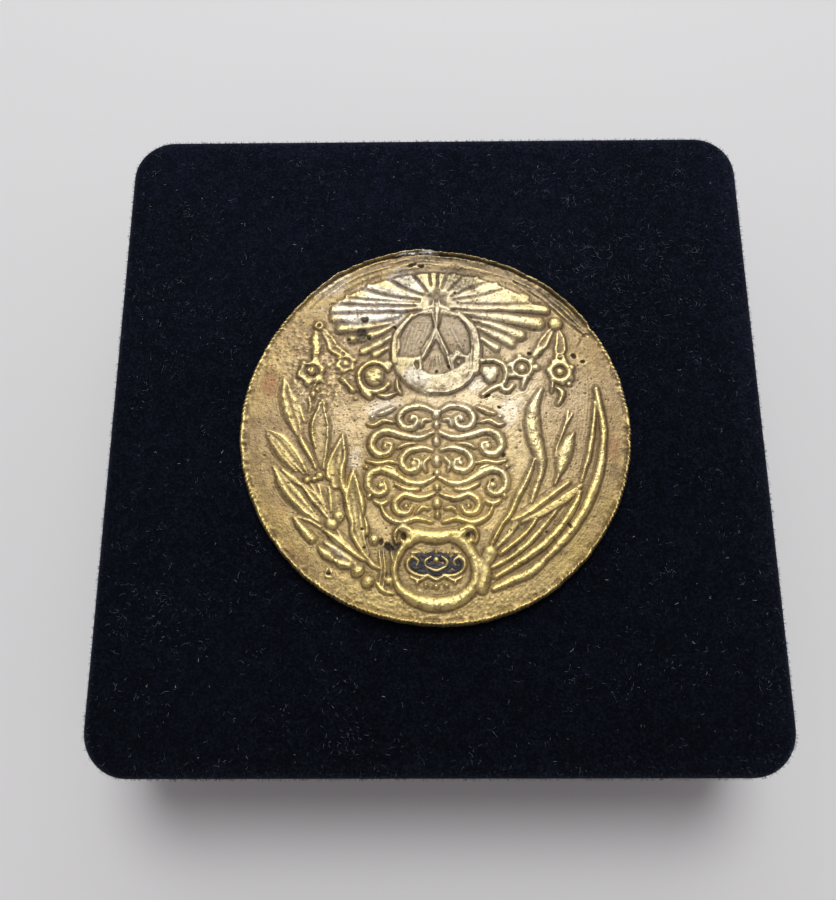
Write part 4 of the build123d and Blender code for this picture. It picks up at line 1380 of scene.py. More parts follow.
def cartouche(relief):
    """Oval frame under a bar that ends in two volutes, with a strap on the right."""
    frame_line = [(-2.3, -14.1), (-3.6, -14.9), (-4.6, -16.2), (-5.15, -17.6), (-5.2, -19.1), (-4.6, -20.6),
                  (-3.2, -21.8), (-1.4, -22.5), (0.4, -22.65), (2.2, -22.3), (3.8, -21.4), (4.8, -20.1),
                  (5.1, -18.6), (4.8, -17.0), (4.0, -15.6), (3.0, -14.6), (2.0, -14.1)]
    widths = [1.3, 1.0, 0.8, 0.75, 0.7, 0.9, 1.2, 1.4, 1.5, 1.4, 1.3, 1.1, 1.1, 1.1, 1.2, 1.2, 1.3]
    relief.strokes([
        (frame_line, widths, 0.52),
        ([(-4.2, -13.3), (-2.4, -13.9), (0.0, -14.25), (2.4, -13.9), (4.2, -13.4)],
         [0.7, 1.2, 1.4, 1.2, 0.7], 0.52),
        ([(-3.6, -13.6), (-3.0, -14.3), (-3.4, -15.1)], [0.8, 1.1, 0.8], 0.50),
        ([(3.6, -13.6), (3.0, -14.3), (3.5, -15.1)], [0.8, 1.1, 0.8], 0.50),
    ])
    for side in (-1, 1):
        relief.stroke([(side * 3.2, -13.4), (side * 4.1, -13.0), (side * 4.95, -13.35), (side * 5.25, -14.2),
                       (side * 5.0, -15.0)], [0.7, 0.6, 0.5, 0.45, 0.35], 0.50)
        relief.cell(circle((side * 4.3, -13.95), 0.5, 0.42, range(0, 360, 45)), 0.0, 0.3)
        relief.bead((side * 4.4, -14.75), 0.4, 0.40)
    relief.bead((6.85, -16.25), 0.9, 0.5)
    relief.stroke([(6.7, -16.6), (6.25, -17.7), (6.15, -19.0), (5.7, -20.6)], [1.5, 1.1, 1.2, 1.4], 0.46)
    relief.stroke([(5.0, -16.8), (5.7, -17.8), (5.6, -19.4)], [0.8, 1.0, 0.8], 0.40)
    scroll = [(0.8, -19.0), (2.2, -19.1), (3.4, -18.4), (3.6, -17.4), (2.9, -16.8), (2.2, -17.3),
              (2.5, -17.9)]
    for side in (scroll, mirrored(scroll, 0.0)):
        relief.stroke(side, 0.42, 0.30)
    relief.stroke([(-1.3, -18.0), (0.0, -18.5), (1.3, -18.0)], 0.42, 0.30)
    relief.stroke([(-3.2, -19.3), (-2.2, -19.7), (-1.0, -19.2), (0.0, -19.6), (1.0, -19.2), (2.2, -19.7),
                   (3.2, -19.3)], 0.36, 0.26)
    for side in (1, -1):
        relief.stroke([(side * 0.6, -16.7), (side * 1.4, -17.3), (side * 1.3, -17.9)], 0.36, 0.28)
        relief.stroke([(side * 2.2, -16.2), (side * 3.1, -16.3)], 0.34, 0.24)
    relief.dots([(0, -17.2, 0.45), (0, -16.2, 0.28), (1.5, -16.3, 0.24), (-1.5, -16.3, 0.24),
                 (0, -20.4, 0.38), (1.3, -20.3, 0.28), (-1.3, -20.3, 0.28), (2.4, -20.0, 0.22),
                 (-2.4, -20.0, 0.22)], 0.34)


# one side's tendrils: points and width
CURLS = [
    ([(0.6, 2.4), (2.2, 3.1), (4.2, 2.7), (5.1, 1.4), (4.4, 0.2), (3.1, 0.3), (2.7, 1.3),
      (3.4, 1.8)], 0.82),
    ([(0.6, -0.5), (2.4, -1.2), (4.6, -0.9), (6.7, -0.3), (8.2, -0.9), (8.7, -2.3), (7.8, -3.4),
      (6.5, -3.2), (6.1, -2.2), (6.9, -1.9)], 0.92),
    ([(0.7, -2.9), (2.2, -2.6), (4.0, -3.1), (4.8, -4.4), (4.0, -5.6), (2.7, -5.4), (2.5, -4.4),
      (3.2, -4.1)],
     0.84),
    ([(0.6, -6.6), (2.2, -7.3), (4.0, -7.1), (5.9, -6.0), (7.6, -5.5), (8.9, -6.2), (9.0, -7.8),
      (7.9, -8.7), (6.8, -8.2), (7.0, -7.2)], 0.92),
    ([(0.6, -8.7), (2.4, -9.2), (4.4, -8.8), (5.6, -9.8), (5.2, -11.0), (4.0, -11.2),
      (3.4, -10.4)], 0.82),
    ([(0.9, -12.3), (2.8, -11.9), (4.8, -12.4), (6.6, -11.6), (7.4, -10.2)], 0.66),
    ([(5.4, -4.6), (6.4, -4.4), (7.8, -4.6), (9.2, -4.3)], 0.6),
    ([(5.7, 2.9), (6.9, 2.3), (7.9, 2.0)], 0.7),
    ([(5.8, 0.9), (7.2, 1.1), (8.4, 0.5), (9.2, 0.7)], 0.55),
    ([(5.5, -5.5), (6.3, -5.2), (7.0, -5.0)], 0.5),
    ([(1.2, -3.9), (1.9, -4.7), (1.6, -5.7)], 0.6),
    ([(2.5, -8.1), (4.0, -8.1), (5.6, -7.4)], 0.6),
    ([(6.5, -9.6), (7.4, -10.0), (8.3, -9.6)], 0.6),
    ([(1.2, -10.6), (2.2, -10.5), (2.9, -11.4)], 0.55),
    ([(1.0, 1.2), (1.9, 1.2), (2.2, 0.3)], 0.55),
    ([(2.9, -2.0), (4.2, -2.1), (5.3, -2.6)], 0.55),
]


def tendrils(relief):
    """Panel of plain curling tendrils, the same on both sides of an upright line of beads."""
    axis = 0.2
    for points, width in CURLS:
        for side in (points, mirrored(points, axis)):
            relief.stroke(side, width, 0.40)
    for x, y, size in ((3.5, 1.35, 0.42), (6.9, -2.4, 0.45), (3.25, -4.7, 0.42), (7.4, -7.6, 0.45),
                       (4.2, -10.3, 0.40), (9.3, -5.1, 0.32), (8.6, 1.6, 0.32), (8.9, -9.0, 0.3)):
        relief.bead((x, y), size, 0.34)
        relief.bead((2 * axis - x, y), size, 0.34)
    for y, size in ((2.0, 0.6), (0.5, 0.45), (-1.7, 0.55), (-4.4, 0.65), (-6.0, 0.42), (-7.9, 0.45),
                    (-10.0, 0.55), (-11.4, 0.4)):
        relief.bead((axis, y), size, 0.40, 1.35, 90)


def teeth_wave(angle):
    """The milled edge's teeth, not quite evenly spaced."""
    return np.cos(TEETH * angle + 1.5 * np.sin(7 * angle))


def edge_radius(angle):
    """Outline of the coin by angle: nearly round, worn, and toothed where it was milled."""
    waves = [(0.20, -1.75), (0.144, -0.77), (0.066, -1.19), (0.099, 1.63), (0.042, -2.66), (0.078, -0.54)]
    radius = COIN_RADIUS - EDGE_WEAR
    radius = radius + sum(size * np.cos((k + 1) * angle - turn) for k, (size, turn) in enumerate(waves))
    degrees = np.degrees(angle) % 360
    milled = 1 - 0.8 * sector(degrees, 20, 45, 125, 150)
    strength = np.clip(0.45 + 1.0 * layered_noise(degrees * RIM_MM, degrees * 0 + 3.1, 5.0, 71, 3), 0, 1.3)
    teeth = 0.05 * teeth_wave(angle) * strength * milled
    dents = value_noise(degrees * RIM_MM, degrees * 0, 0.9, 72) * 0.055
    lump = 0.16 * sector(degrees, 88, 92, 100, 103)
    nick = -0.16 * np.exp(-((degrees - 32.4) / 0.7) ** 2)
    return radius + teeth + dents + lump + nick


def disc_grid(count):
    """Square grid bent on to a unit disc with nearly even cells."""
    line = np.linspace(-1, 1, count)
    a, b = np.meshgrid(line, line)
    with np.errstate(divide="ignore", invalid="ignore"):
        wide = np.abs(a) > np.abs(b)
        radius = np.where(wide, a, b)
        angle = np.where(wide, np.pi / 4 * b / a, np.pi / 2 - np.pi / 4 * a / b)
    angle = np.where((a == 0) & (b == 0), 0.0, angle)
    return radius * np.cos(angle), radius * np.sin(angle)


def rim_profile(x, y, radius, angle):
    """Height of the outer band and rim over the field."""
    degrees = np.degrees(angle) % 360
    out = radius / edge_radius(angle) * RIM_RADIUS
    band = 0.05 * smoothstep(21.6, 23.0, out)
    sharp = sector(degrees, 25, 45, 118, 150)
    bottom = sector(degrees, 195, 250, 340, 372)
    torn = layered_noise(x, y, 1.0, 93, 3)
    wire = (0.26 * sharp + 0.22 * bottom + 0.10) * (1 + 0.8 * torn)
    wire = wire * np.exp(-((out - 25.05 - 0.10 * torn) / 0.19) ** 2)
    ditch = -np.exp(-((out - 24.78) / 0.13) ** 2) * (0.24 * sharp + 0.02)
    beads = 0.045 * teeth_wave(angle) * smoothstep(24.75, 25.1, out) * (1 - sharp)
    beads = beads * np.clip(0.8 + 1.4 * value_noise(x, y, 1.8, 94), 0.1, 1.6)
    rough = layered_noise(x, y, 0.6, 91, 2) * 0.14 * smoothstep(24.0, 25.0, out)
    rounded = -0.5 * np.clip((out - 25.15) / 0.3, 0, 1) ** 2
    upper = sector(degrees, 20, 40, 120, 150) * smoothstep(22.8, 23.3, out)
    streaks = 0.06 * upper * value_noise(out * 4.0, degrees * 0.12, 1.0, 92)
    return band + wire + ditch + beads + rough + rounded + streaks


def worn_field(x, y):
    """Low waves, grain and casting marks over the whole face."""
    height = 0.055 * layered_noise(x, y, 7.0, 11, 3)
    height += 0.030 * layered_noise(x, y, 1.4, 12, 4)
    height += 0.010 * value_noise(x, y, 0.20, 13)
    grainy = 0.5 * smoothstep(0.0, 0.6, value_noise(x, y, 6.0, 14)) + 1.5 * smoothstep(-17, -22, y)
    return height + 0.018 * grainy * value_noise(x, y, 0.30, 15)


def scatter_pits(relief, count, seed):
    """Small round pits, thicker on some parts of the face."""
    rng = np.random.default_rng(seed)
    pit = np.zeros(len(relief.x))
    made = 0
    while made < count:
        x, y = rng.uniform(-24, 24, 2)
        if x * x + y * y > PIT_REACH_SQUARED:
            continue
        if rng.uniform() > 0.35 + 0.65 * (value_noise(np.array([x]), np.array([y]), 5.0, 44)[0] > 0):
            continue
        size = rng.uniform(0.045, 0.085) * (1.8 if rng.uniform() < 0.07 else 1.0)
        index = relief.near([(x, y)], size * 2.5)
        share = np.exp(-((relief.x[index] - x) ** 2 + (relief.y[index] - y) ** 2) / size ** 2)
        pit[index] = np.maximum(pit[index], share)
        made += 1
    return pit


# the large hollows: place, size, stretch and turn
HOLLOWS = [
    ((-9.4, 15.3), 0.45, 1.4, 15), ((-9.8, 13.0), 0.62, 1.3, 10), ((-8.8, 12.8), 0.4, 1.0, 0),
    ((-5.3, 14.2), 0.3, 1.4, -50), ((-10.1, 10.9), 0.22, 1.0, 0), ((-11.5, 12.5), 0.28, 1.4, 0),
    ((-3.0, 23.5), 0.32, 2.0, 20), ((-1.7, 23.3), 0.25, 1.8, 0), ((12.8, 10.4), 0.26, 1.3, 0),
    ((18.7, 10.0), 0.28, 1.4, -50), ((19.9, 9.2), 0.26, 1.4, -30), ((8.5, 2.9), 0.22, 1.4, -40),
    ((7.0, 4.5), 0.28, 1.5, 15), ((17.0, -12.9), 0.24, 1.6, -60), ((14.1, -13.7), 0.2, 1.2, 0),
    ((8.9, -3.6), 0.22, 1.4, 60), ((7.4, -6.9), 0.22, 1.4, 70), ((-6.0, -15.5), 0.5, 1.4, -30),
    ((-6.9, -14.9), 0.25, 2.0, 80), ((-4.1, -14.2), 0.38, 1.2, -60), ((4.1, -14.0), 0.26, 1.3, 60),
    ((-9.1, -15.6), 0.2, 1.3, 0), ((-9.4, -13.2), 0.2, 1.3, 0), ((-13.55, -18.8), 0.22, 1.2, 0),
    ((0.3, 7.85), 0.22, 1.0, 0), ((1.9, 8.5), 0.26, 1.5, -60), ((2.9, 19.2), 0.2, 1.2, 0),
]


def big_pits(relief, pit):
    """Adds the few large dark hollows of the face."""
    for centre, size, stretch, turn in HOLLOWS:
        index = relief.near([centre], size * stretch * 2)
        x = relief.x[index]
        y = relief.y[index]
        wobble = 1 + 0.35 * value_noise(x, y, 0.35, 64)
        share = oval_distance(x, y, centre, stretch, turn) / (size * wobble)
        pit[index] = np.maximum(pit[index], 1 - smoothstep(0.5, 1.15, share))
    return pit


def scratches(relief, count, seed):
    """Fine straight and slightly bent scratches, as a depth share."""
    rng = np.random.default_rng(seed)
    depth = np.zeros(len(relief.x))
    for _ in range(count):
        start = rng.uniform(-22, 22, 2)
        angle = rng.normal(2.6, 0.7)
        length = rng.uniform(1.0, 6.0)
        end = start + length * np.array([math.cos(angle), math.sin(angle)])
        middle = (start + end) / 2 + rng.uniform(-0.15, 0.15, 2)
        line = smooth_line([start, middle, end], 4)
        index = relief.near(line, 0.12)
        if not len(index):
            continue
        distance, along = relief.distance_to(index, line)
        share = np.exp(-(distance / 0.055) ** 2) * np.sin(np.pi * along) * rng.uniform(0.3, 1.0)
        depth[index] = np.maximum(depth[index], share)
    return depth


def patch(x, y, centre, size, stretch, turn, seed):
    """Soft irregular spot, 1 in its middle."""
    share = oval_distance(x, y, centre, stretch, turn) / size
    share = share + 0.45 * layered_noise(x, y, 1.6, 200 + seed, 3)
    return 1 - smoothstep(0.55, 1.25, share)


def spots(x, y, rows):
    """The strongest of several patches at each place; a row ends in the patch's strength."""
    return np.maximum.reduce([patch(x, y, *row[:-1]) * row[-1] for row in rows])


# ---- Coin: zones of colour. A row is centre, size, stretch, turn, seed and strength ----
# Silvery spots: partly worn metal, partly painted glints where the light's reflection falls.
SILVER_AND_GLINT = [
    ((-8.6, 16.4), 2.0, 2.9, -3, 1, 1.0), ((-10.6, 15.2), 1.0, 1.8, 0, 2, 1.0),
    ((-2.5, 7.2), 1.3, 1.6, -25, 3, 1.0), ((-6.6, 2.9), 1.5, 1.6, 10, 4, 0.7),
    ((5.4, 6.4), 1.1, 1.6, 40, 5, 0.7), ((-3.6, 20.4), 1.6, 1.8, -35, 6, 0.8),
    ((-7.0, 18.9), 1.4, 2.6, -15, 24, 0.8), ((-12.0, 16.6), 1.0, 1.6, 0, 25, 0.8),
    ((9.5, 2.0), 1.6, 1.5, 60, 7, 0.5), ((-12.2, -16.1), 0.5, 3.0, -38, 8, 0.6),
    ((-10.4, -4.2), 0.9, 2.0, 80, 9, 0.4), ((-13.5, 20.2), 1.2, 2.2, 35, 10, 0.4),
]
COPPER = [
    ((-21.7, 5.8), 1.3, 1.7, 80, 11, 1.0), ((22.9, -2.6), 0.9, 2.2, 85, 12, 0.7),
    ((-17.0, -16.2), 1.4, 2.0, -45, 13, 0.35), ((-20.4, -10.5), 1.2, 2.0, -60, 14, 0.3),
]
# Dark spots: dirt, except the four with seeds 26 to 29, which are painted shade over the fan's top and the
# crescent's right.
SOOT_AND_SHADE = [
    ((-9.8, 13.0), 0.9, 1.3, 10, 15, 1.0), ((-1.2, 23.9), 0.8, 3.4, 0, 16, 0.8),
    ((3.5, 24.1), 0.7, 4.0, -12, 17, 0.55), ((-5.6, -15.3), 0.8, 1.8, 10, 18, 1.0),
    ((-10.1, -9.4), 0.6, 3.0, -75, 19, 0.4), ((10.9, -12.7), 0.5, 2.6, 38, 20, 0.6),
    ((9.4, -15.9), 0.4, 3.0, 40, 21, 0.6), ((22.9, -6.0), 0.9, 1.5, 70, 22, 0.4),
    ((7.4, 9.1), 0.5, 1.8, 0, 23, 0.6), ((3.2, 21.0), 1.8, 1.8, -15, 26, 0.9),
    ((-3.2, 21.3), 1.4, 2.0, 15, 27, 0.7), ((3.2, 17.2), 1.2, 1.6, -30, 28, 0.4),
    ((3.6, 10.0), 1.6, 1.6, 60, 29, 0.3), ((9.8, 6.7), 0.5, 1.2, 60, 24, 0.5),
    ((-0.6, -18.0), 2.8, 1.1, 0, 31, 0.2),
]
# where the work has crumbled, with the same columns
CRUMBLED = [((-15.0, 7.3), 5.0, 1.3, 80, 32, 1.0), ((-21.0, 11.5), 2.0, 3.0, 60, 33, 0.6)]


def light_zones(x, y, radius):
    """Where the metal is greyer, yellower, barer or silvery; the grey middle, the silvery spots, the yellower
    bottom and the barer lower middle are partly painted light.
    """
    # Painted reflection: the pale grey round the middle is partly the metal's tone and partly stands in for
    # the overhead light's reflection.
    grey = 1.05 * np.exp(-(((x - 4.5) / 11) ** 2 + ((y - 5.5) / 13.5) ** 2))
    grey = np.clip(grey + 0.35 * layered_noise(x, y, 6.0, 51, 3), 0, 1)
    # Yellower towards the rim, which is the metal's tone, and towards the bottom, where it is partly painted
    # light.
    gold_and_lit = smoothstep(17, 24, radius) * 0.55 + smoothstep(2, -18, y) * 0.45
    gold_and_lit = np.clip(gold_and_lit + 0.3 * layered_noise(x, y, 5.0, 52, 3), 0, 1)
    # Painted light: brighter, barer metal over the lower middle and the bottom, partly wear and partly
    # standing in for the light's reflection there.
    bare_and_lit = 0.95 + 0.4 * layered_noise(x, y, 2.5, 57, 3)
    bare_and_lit = np.exp(-(((x - 1) / 15) ** 2 + ((y + 8.5) / 10) ** 2)) * bare_and_lit
    bare_and_lit = np.clip(bare_and_lit + 0.35 * smoothstep(-16, -21, y), 0, 1)
    fan = np.exp(-(((x - 0.5) / 13.5) ** 2 + ((y - 15.5) / 5.5) ** 2) ** 2)
    fan = np.clip(fan * (0.85 + 0.4 * layered_noise(x, y, 2.0, 58, 3)), 0, 1)
    return {"grey": grey, "gold_and_lit": gold_and_lit, "bare_and_lit": bare_and_lit, "fan": fan, "silver_and_glint": spots(x, y, SILVER_AND_GLINT)}


def dark_zones(x, y, radius, grey):
    """Where the metal is browner, coppery or black; some of the black is painted shade."""
    brown = 0.7 * smoothstep(13, 17, x) * smoothstep(-16, -6, y)
    brown = brown * (0.75 + 0.4 * layered_noise(x, y, 4.0, 53, 3))
    brown = np.maximum(brown, 0.6 * np.exp(-(((x - 3) / 5) ** 2 + ((y - 13) / 6) ** 2)))
    brown = np.maximum(brown, 0.6 * smoothstep(-0.1, 0.5, layered_noise(x, y, 4.5, 54, 3)) * (1 - grey))
    degrees = np.degrees(np.arctan2(y, x)) % 360
    band = smoothstep(22.4, 23.2, radius) * sector(degrees, 35, 50, 100, 150)
    brown = np.maximum(brown, band * (0.8 + 0.4 * layered_noise(x, y, 2.0, 55, 2)))
    # The dark mask holds dirt, the rim's dark band and the painted shade of some spots.
    soot_and_shade = np.maximum(spots(x, y, SOOT_AND_SHADE), 0.45 * band * (1 + 0.5 * layered_noise(x, y, 1.5, 56, 2)))
    torn = np.exp(-((radius - 23.9) / 0.85) ** 2) * sector(degrees, 30, 40, 90, 118)
    soot_and_shade = np.maximum(soot_and_shade, torn * np.clip(0.85 + 0.9 * layered_noise(x, y, 1.0, 26, 3), 0, 1))
    return {"brown": np.clip(brown, 0, 1), "copper": spots(x, y, COPPER), "soot_and_shade": soot_and_shade}


# ---- Coin: the struck face ----
# cuts of wear: points, width and depth
CUTS = [
    ([(11.0, 20.9), (14.6, 18.3), (17.6, 15.4), (20.4, 12.8)], 0.28, 0.16),
    ([(13.0, 20.5), (15.6, 18.2), (18.2, 15.6), (20.2, 13.5)], 0.2, 0.10),
    ([(20.0, 12.7), (20.4, 13.1), (21.2, 13.0)], 0.26, 0.14),
    ([(19.9, 12.4), (19.3, 11.4)], 0.16, 0.14),
    ([(-10.6, 16.9), (-10.4, 15.9), (-10.9, 15.2)], 0.14, 0.12),
    ([(9.1, -1.9), (11.0, -0.1)], 0.12, 0.06),
    ([(13.1, 1.1), (13.5, 1.7), (14.0, 1.9)], 0.12, 0.08),
]


def knocks(relief):
    """Deep cuts of wear, and four sets of faint lines side by side."""
    for points, width, depth in CUTS:
        relief.groove(points, width, depth)
    for offset in (0.0, 0.35, 0.75, 1.2):
        relief.groove([(17.6 - offset, -16.2), (14.0 - offset, -18.8), (9.6 - offset, -21.2)], 0.12, 0.03)
        relief.groove([(19.4 + offset, 8.5), (19.2 + offset, 4.0), (18.4 + offset, -1.5)], 0.14, 0.035)
        relief.groove([(14.4 + offset * 0.3, 10.5), (14.5 + offset * 0.3, 7.0), (14.8, 4.0)], 0.12, 0.03)
        relief.groove([(11.0 + offset, 3.4), (11.2 + offset, -0.6), (11.9 + offset, -4.4)], 0.12, 0.03)


def face_places(count):
    """Places of the face's vertices, drawn out or in to the worn outline near the edge."""
    unit_x, unit_y = disc_grid(count)
    share = np.hypot(unit_x, unit_y).ravel()
    angle = np.arctan2(unit_y, unit_x).ravel()
    radius = share * COIN_RADIUS + (edge_radius(angle) - COIN_RADIUS) * smoothstep(0.86, 1.0, share)
    return radius * np.cos(angle), radius * np.sin(angle), radius, angle


def struck_relief(x, y, crumbled):
    """The raised work and the cuts in it, with outlines pushed about a little by wear."""
    sway = 0.06 + 0.16 * crumbled
    sway_x = sway * layered_noise(x, y, 0.8, 61, 2)
    sway_y = sway * layered_noise(x, y, 0.8, 62, 2)
    relief = Relief((x + sway_x + WORK_SHIFT[0]) / WORK_SCALE[0],
                    (y + sway_y + WORK_SHIFT[1]) / WORK_SCALE[1])
    for draw in (sunburst, crescent, left_garland, right_garland, left_branch, right_branch, cartouche,
                 tendrils, knocks):
        draw(relief)
    return relief


def worn_work(x, y, worked, gap, crumbled):
    """The raised work rubbed and chipped, with faint flow lines round it."""
    chips = (0.11 + 0.40 * crumbled) * layered_noise(x, y, 0.6, 23, 2)
    worn = worked * (1 + 0.10 * layered_noise(x, y, 2.2, 21, 3) + chips)
    worn = worn + 0.10 * crumbled * layered_noise(x, y, 0.5, 24, 3)
    fade = np.exp(-gap / 0.55) * (gap > 0) * np.clip(0.6 + value_noise(x, y, 1.6, 22), 0, 1)
    return worn + 0.028 * np.cos(2 * np.pi * gap / 0.36) * fade


def coin_face(count):
    """Places, heights and colour masks of the coin's struck face; cell_size is a cell's mean width."""
    x, y, radius, angle = face_places(count)
    crumbled = spots(x, y, CRUMBLED)
    relief = struck_relief(x, y, crumbled)
    cell_size = COIN_RADIUS * CELL_SHARE / count
    worked = blur(relief.height.reshape(count, count), 0.08 / cell_size).ravel()
    field_share = 1 - 0.35 * smoothstep(0.02, 0.2, worked)
    height = worn_work(x, y, worked, relief.gap, crumbled)
    height = height + worn_field(x, y) * field_share + rim_profile(x, y, radius, angle)
    pit = big_pits(relief, scatter_pits(relief, detail(200, 1300), 7) * 0.75)
    scratch = scratches(relief, detail(40, 160), 9)
    height = height - PIT_DEPTH * pit - SCRATCH_DEPTH * scratch
    grid = height.reshape(count, count)
    near_dip = (blur(grid, 0.24 / cell_size) - grid).ravel()
    broad_dip = (blur(grid, 0.9 / cell_size) - grid).ravel()
    masks = {
        "raised": np.clip(worked / 0.4, 0, 1),
        "cavity": np.clip(0.5 + near_dip / 0.16, 0, 1),
        "hollow": np.clip(0.5 + broad_dip / 0.4, 0, 1),
        "pit": pit,
        "scratch": scratch,
        "cell": relief.shade,
    }
    zone_x = x + WORK_SHIFT[0]
    zone_y = y + WORK_SHIFT[1]
    masks.update(light_zones(zone_x, zone_y, radius))
    masks.update(dark_zones(zone_x, zone_y, radius, masks["grey"]))
    return x, y, height, masks


# ---- Coin: materials and pieces ----
def brass_material():
    """Old struck brass: brown-grey field, yellow where rubbed, dark in the hollows, silvery patches; painted
    light brightens the middle and bottom and makes glints of the silvery patches, and painted shade darkens
    the fan's top.
    """
    n = Nodes("struck_brass")
    fine = n.noise(5.0, 4.0, 0.7)
    cloud = n.noise(0.30, 5.0, 0.65)
    speck = n.noise(2.0, 4.0, 0.75)
    stain = n.noise(0.8, 5.0, 0.72)
    cavity = n.attribute("cavity")
    metal = n.mix(n.ramp(cloud, (0.40, 0.0), (0.60, 1.0)), (0.305, 0.212, 0.120), (0.48, 0.352, 0.205))
    # The grey zone is partly a painted reflection, and the yellow zone is partly painted light towards the
    # bottom.
    for zone, strength, colour in (("grey", 0.88, (0.81, 0.685, 0.475)), ("gold_and_lit", 0.8, (0.46, 0.335, 0.108)),
                                   ("brown", 0.85, (0.26, 0.178, 0.107))):
        metal = n.mix(n.share(zone, strength), metal, colour)
    # Painted light: brighter metal over the lower middle and the bottom, partly wear.
    metal = n.mix(n.attribute("bare_and_lit"), metal, (0.80, 0.61, 0.272))
    # The rubbed colour turns paler with the grey zone's painted reflection.
    rubbed = n.mix(n.attribute("grey"), (0.94, 0.75, 0.285), (0.97, 0.865, 0.60))
    metal = n.mix(n.ramp(cavity, (0.20, 0.6), (0.46, 0.0)), metal, rubbed)
    metal = n.mix(n.ramp(n.attribute("raised"), (0.25, 0.0), (0.80, 0.8)), metal, rubbed)
    # The silvery spots are partly painted glints.
    for zone, strength, colour in (("fan", 0.72, (0.55, 0.475, 0.36)), ("copper", 0.62, (0.28, 0.12, 0.07)),
                                   ("silver_and_glint", 0.75, (0.84, 0.79, 0.71))):
        metal = n.mix(n.share(zone, strength), metal, colour)
    grime = n.ramp(cavity, (0.56, 0.0), (0.80, 0.6))
    # Less darkening in the hollows where the lower middle is painted brighter.
    grime = n.math("MULTIPLY", grime, n.ramp(n.attribute("bare_and_lit"), (0.0, 1.0), (1.0, 0.5)))
    # Dark spots of dirt, and of painted shade over the fan's top and the crescent's right.
    dirt_and_shade = n.math("MULTIPLY", n.attribute("soot_and_shade"), n.ramp(speck, (0.35, 0.35), (0.6, 0.95)))
    for share, colour in ((grime, (0.16, 0.105, 0.05)),
                          (n.ramp(n.attribute("hollow"), (0.56, 0.0), (0.9, 0.3)), (0.19, 0.13, 0.07)),
                          (n.share("cell", 0.5), (0.18, 0.135, 0.09)),
                          (n.ramp(stain, (0.50, 0.0), (0.64, 0.6)), (0.20, 0.14, 0.08)),
                          (n.ramp(speck, (0.54, 0.0), (0.66, 0.75)), (0.13, 0.085, 0.045)),
                          (n.ramp(fine, (0.56, 0.0), (0.72, 0.4)), (0.80, 0.66, 0.38)),
                          (dirt_and_shade, (0.062, 0.052, 0.045)),
                          (n.ramp(n.attribute("pit"), (0.3, 0.0), (0.95, 0.85)), (0.035, 0.026, 0.016)),
                          (n.share("scratch", 0.4), (0.7, 0.6, 0.38))):
        metal = n.mix(share, metal, colour)
    matte = n.ramp(cavity, (0.25, 0.40), (0.50, 0.48), (0.75, 0.62))
    matte = n.mix(n.math("MULTIPLY", n.ramp(fine, (0.3, 0.0), (0.7, 1.0)), 0.35), matte, 0.68)
    relief = n.bump(fine, 0.03, 0.7, Normal=n.bump(speck, 0.08, 0.7))
    return n.finish(metal, Normal=relief, Roughness=matte, Metallic=1.0)


def solder_material():
    """Dull grey tin with dark flecks."""
    shades = [(0.36, (0.10, 0.09, 0.08)), (0.50, (0.46, 0.44, 0.39)), (0.66, (0.74, 0.71, 0.64))]
    return grained("solder", (1.8, 4.0, 0.7), shades, (0.08, 0.7), Metallic=0.9, Roughness=0.5)


def black_paint_material():
    """Old black filling paint, half matt."""
    shades = [(0.35, (0.013, 0.011, 0.012)), (0.7, (0.046, 0.038, 0.042))]
    return grained("black_paint", (1.5, 4.0, 0.6), shades, (0.08, 0.6), Roughness=0.42)


def shell_rings(edge):
    """Rings of vertices from the face's border down the milled edge and in over the worn back."""
    centre = np.array([COIN_X, COIN_Y])
    out = edge[:, :2] - centre
    reach = np.linalg.norm(out, axis=1)
    out = out / reach[:, None]
    around = np.degrees(np.arctan2(out[:, 1], out[:, 0])) * RIM_MM
    rings = []
    side_steps = 9
    for step in range(1, side_steps + 1):
        share = step / side_steps
        bulge = 0.10 * math.sin(math.pi * min(share, 0.95)) + 0.02
        worn = 0.03 * value_noise(around, np.full(len(edge), share * 2.5), 0.35, 83)
        height = edge[:, 2] * (1 - share) + (COIN_LOW[2] + 0.12) * share
        rings.append(np.column_stack([centre + out * (reach + bulge + worn)[:, None], height]))
    back = [(0.35, 0.0), (0.9, 0.0), (1.3, 0.12), (2.4, 0.16), (2.7, 0.10), (3.0, 0.16)]
    back += [(inset, 0.16) for inset in range(5, 24, 3)] + [(25, 0.16)]
    for inset, lift in back:
        place = centre + out * np.maximum(reach - inset, 0.02)[:, None]
        ripple = np.abs(layered_noise(place[:, 0], place[:, 1], 3.0, 88, 3)) * 0.05 * (inset > 1)
        rings.append(np.column_stack([place, COIN_LOW[2] + lift + ripple]))
    return rings


def coin_piece(material):
    """The coin: struck face, milled edge and plain worn back, as one closed mesh."""
    count = detail(240, 510)
    x, y, height, masks = coin_face(count)
    face = np.column_stack([x + COIN_X, y + COIN_Y, COIN_LOW[2] + FIELD + height])
    border = grid_border(count)
    rings = shell_rings(face[border])
    start = len(face)
    around = len(border)
    numbers = start + np.arange(around)
    seam = np.stack([border, np.roll(border, -1), np.roll(numbers, -1), numbers], axis=-1)
    shell = grid_quads(len(rings), around, wrap=True, start=start)
    quads = np.concatenate([grid_quads(count, count), seam[:, ::-1], shell[:, ::-1]])
    piece = quad_mesh("struck_coin", np.concatenate([face] + rings), quads)
    plain = {"cavity": 0.5, "hollow": 0.5, "gold_and_lit": 0.6, "raised": 0.25}
    for name, values in masks.items():
        set_attribute(piece, name, np.append(values, np.full(around * len(rings), plain.get(name, 0.0))))
    piece.data.materials.append(material)
    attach(piece, "coin")
    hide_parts("coin")


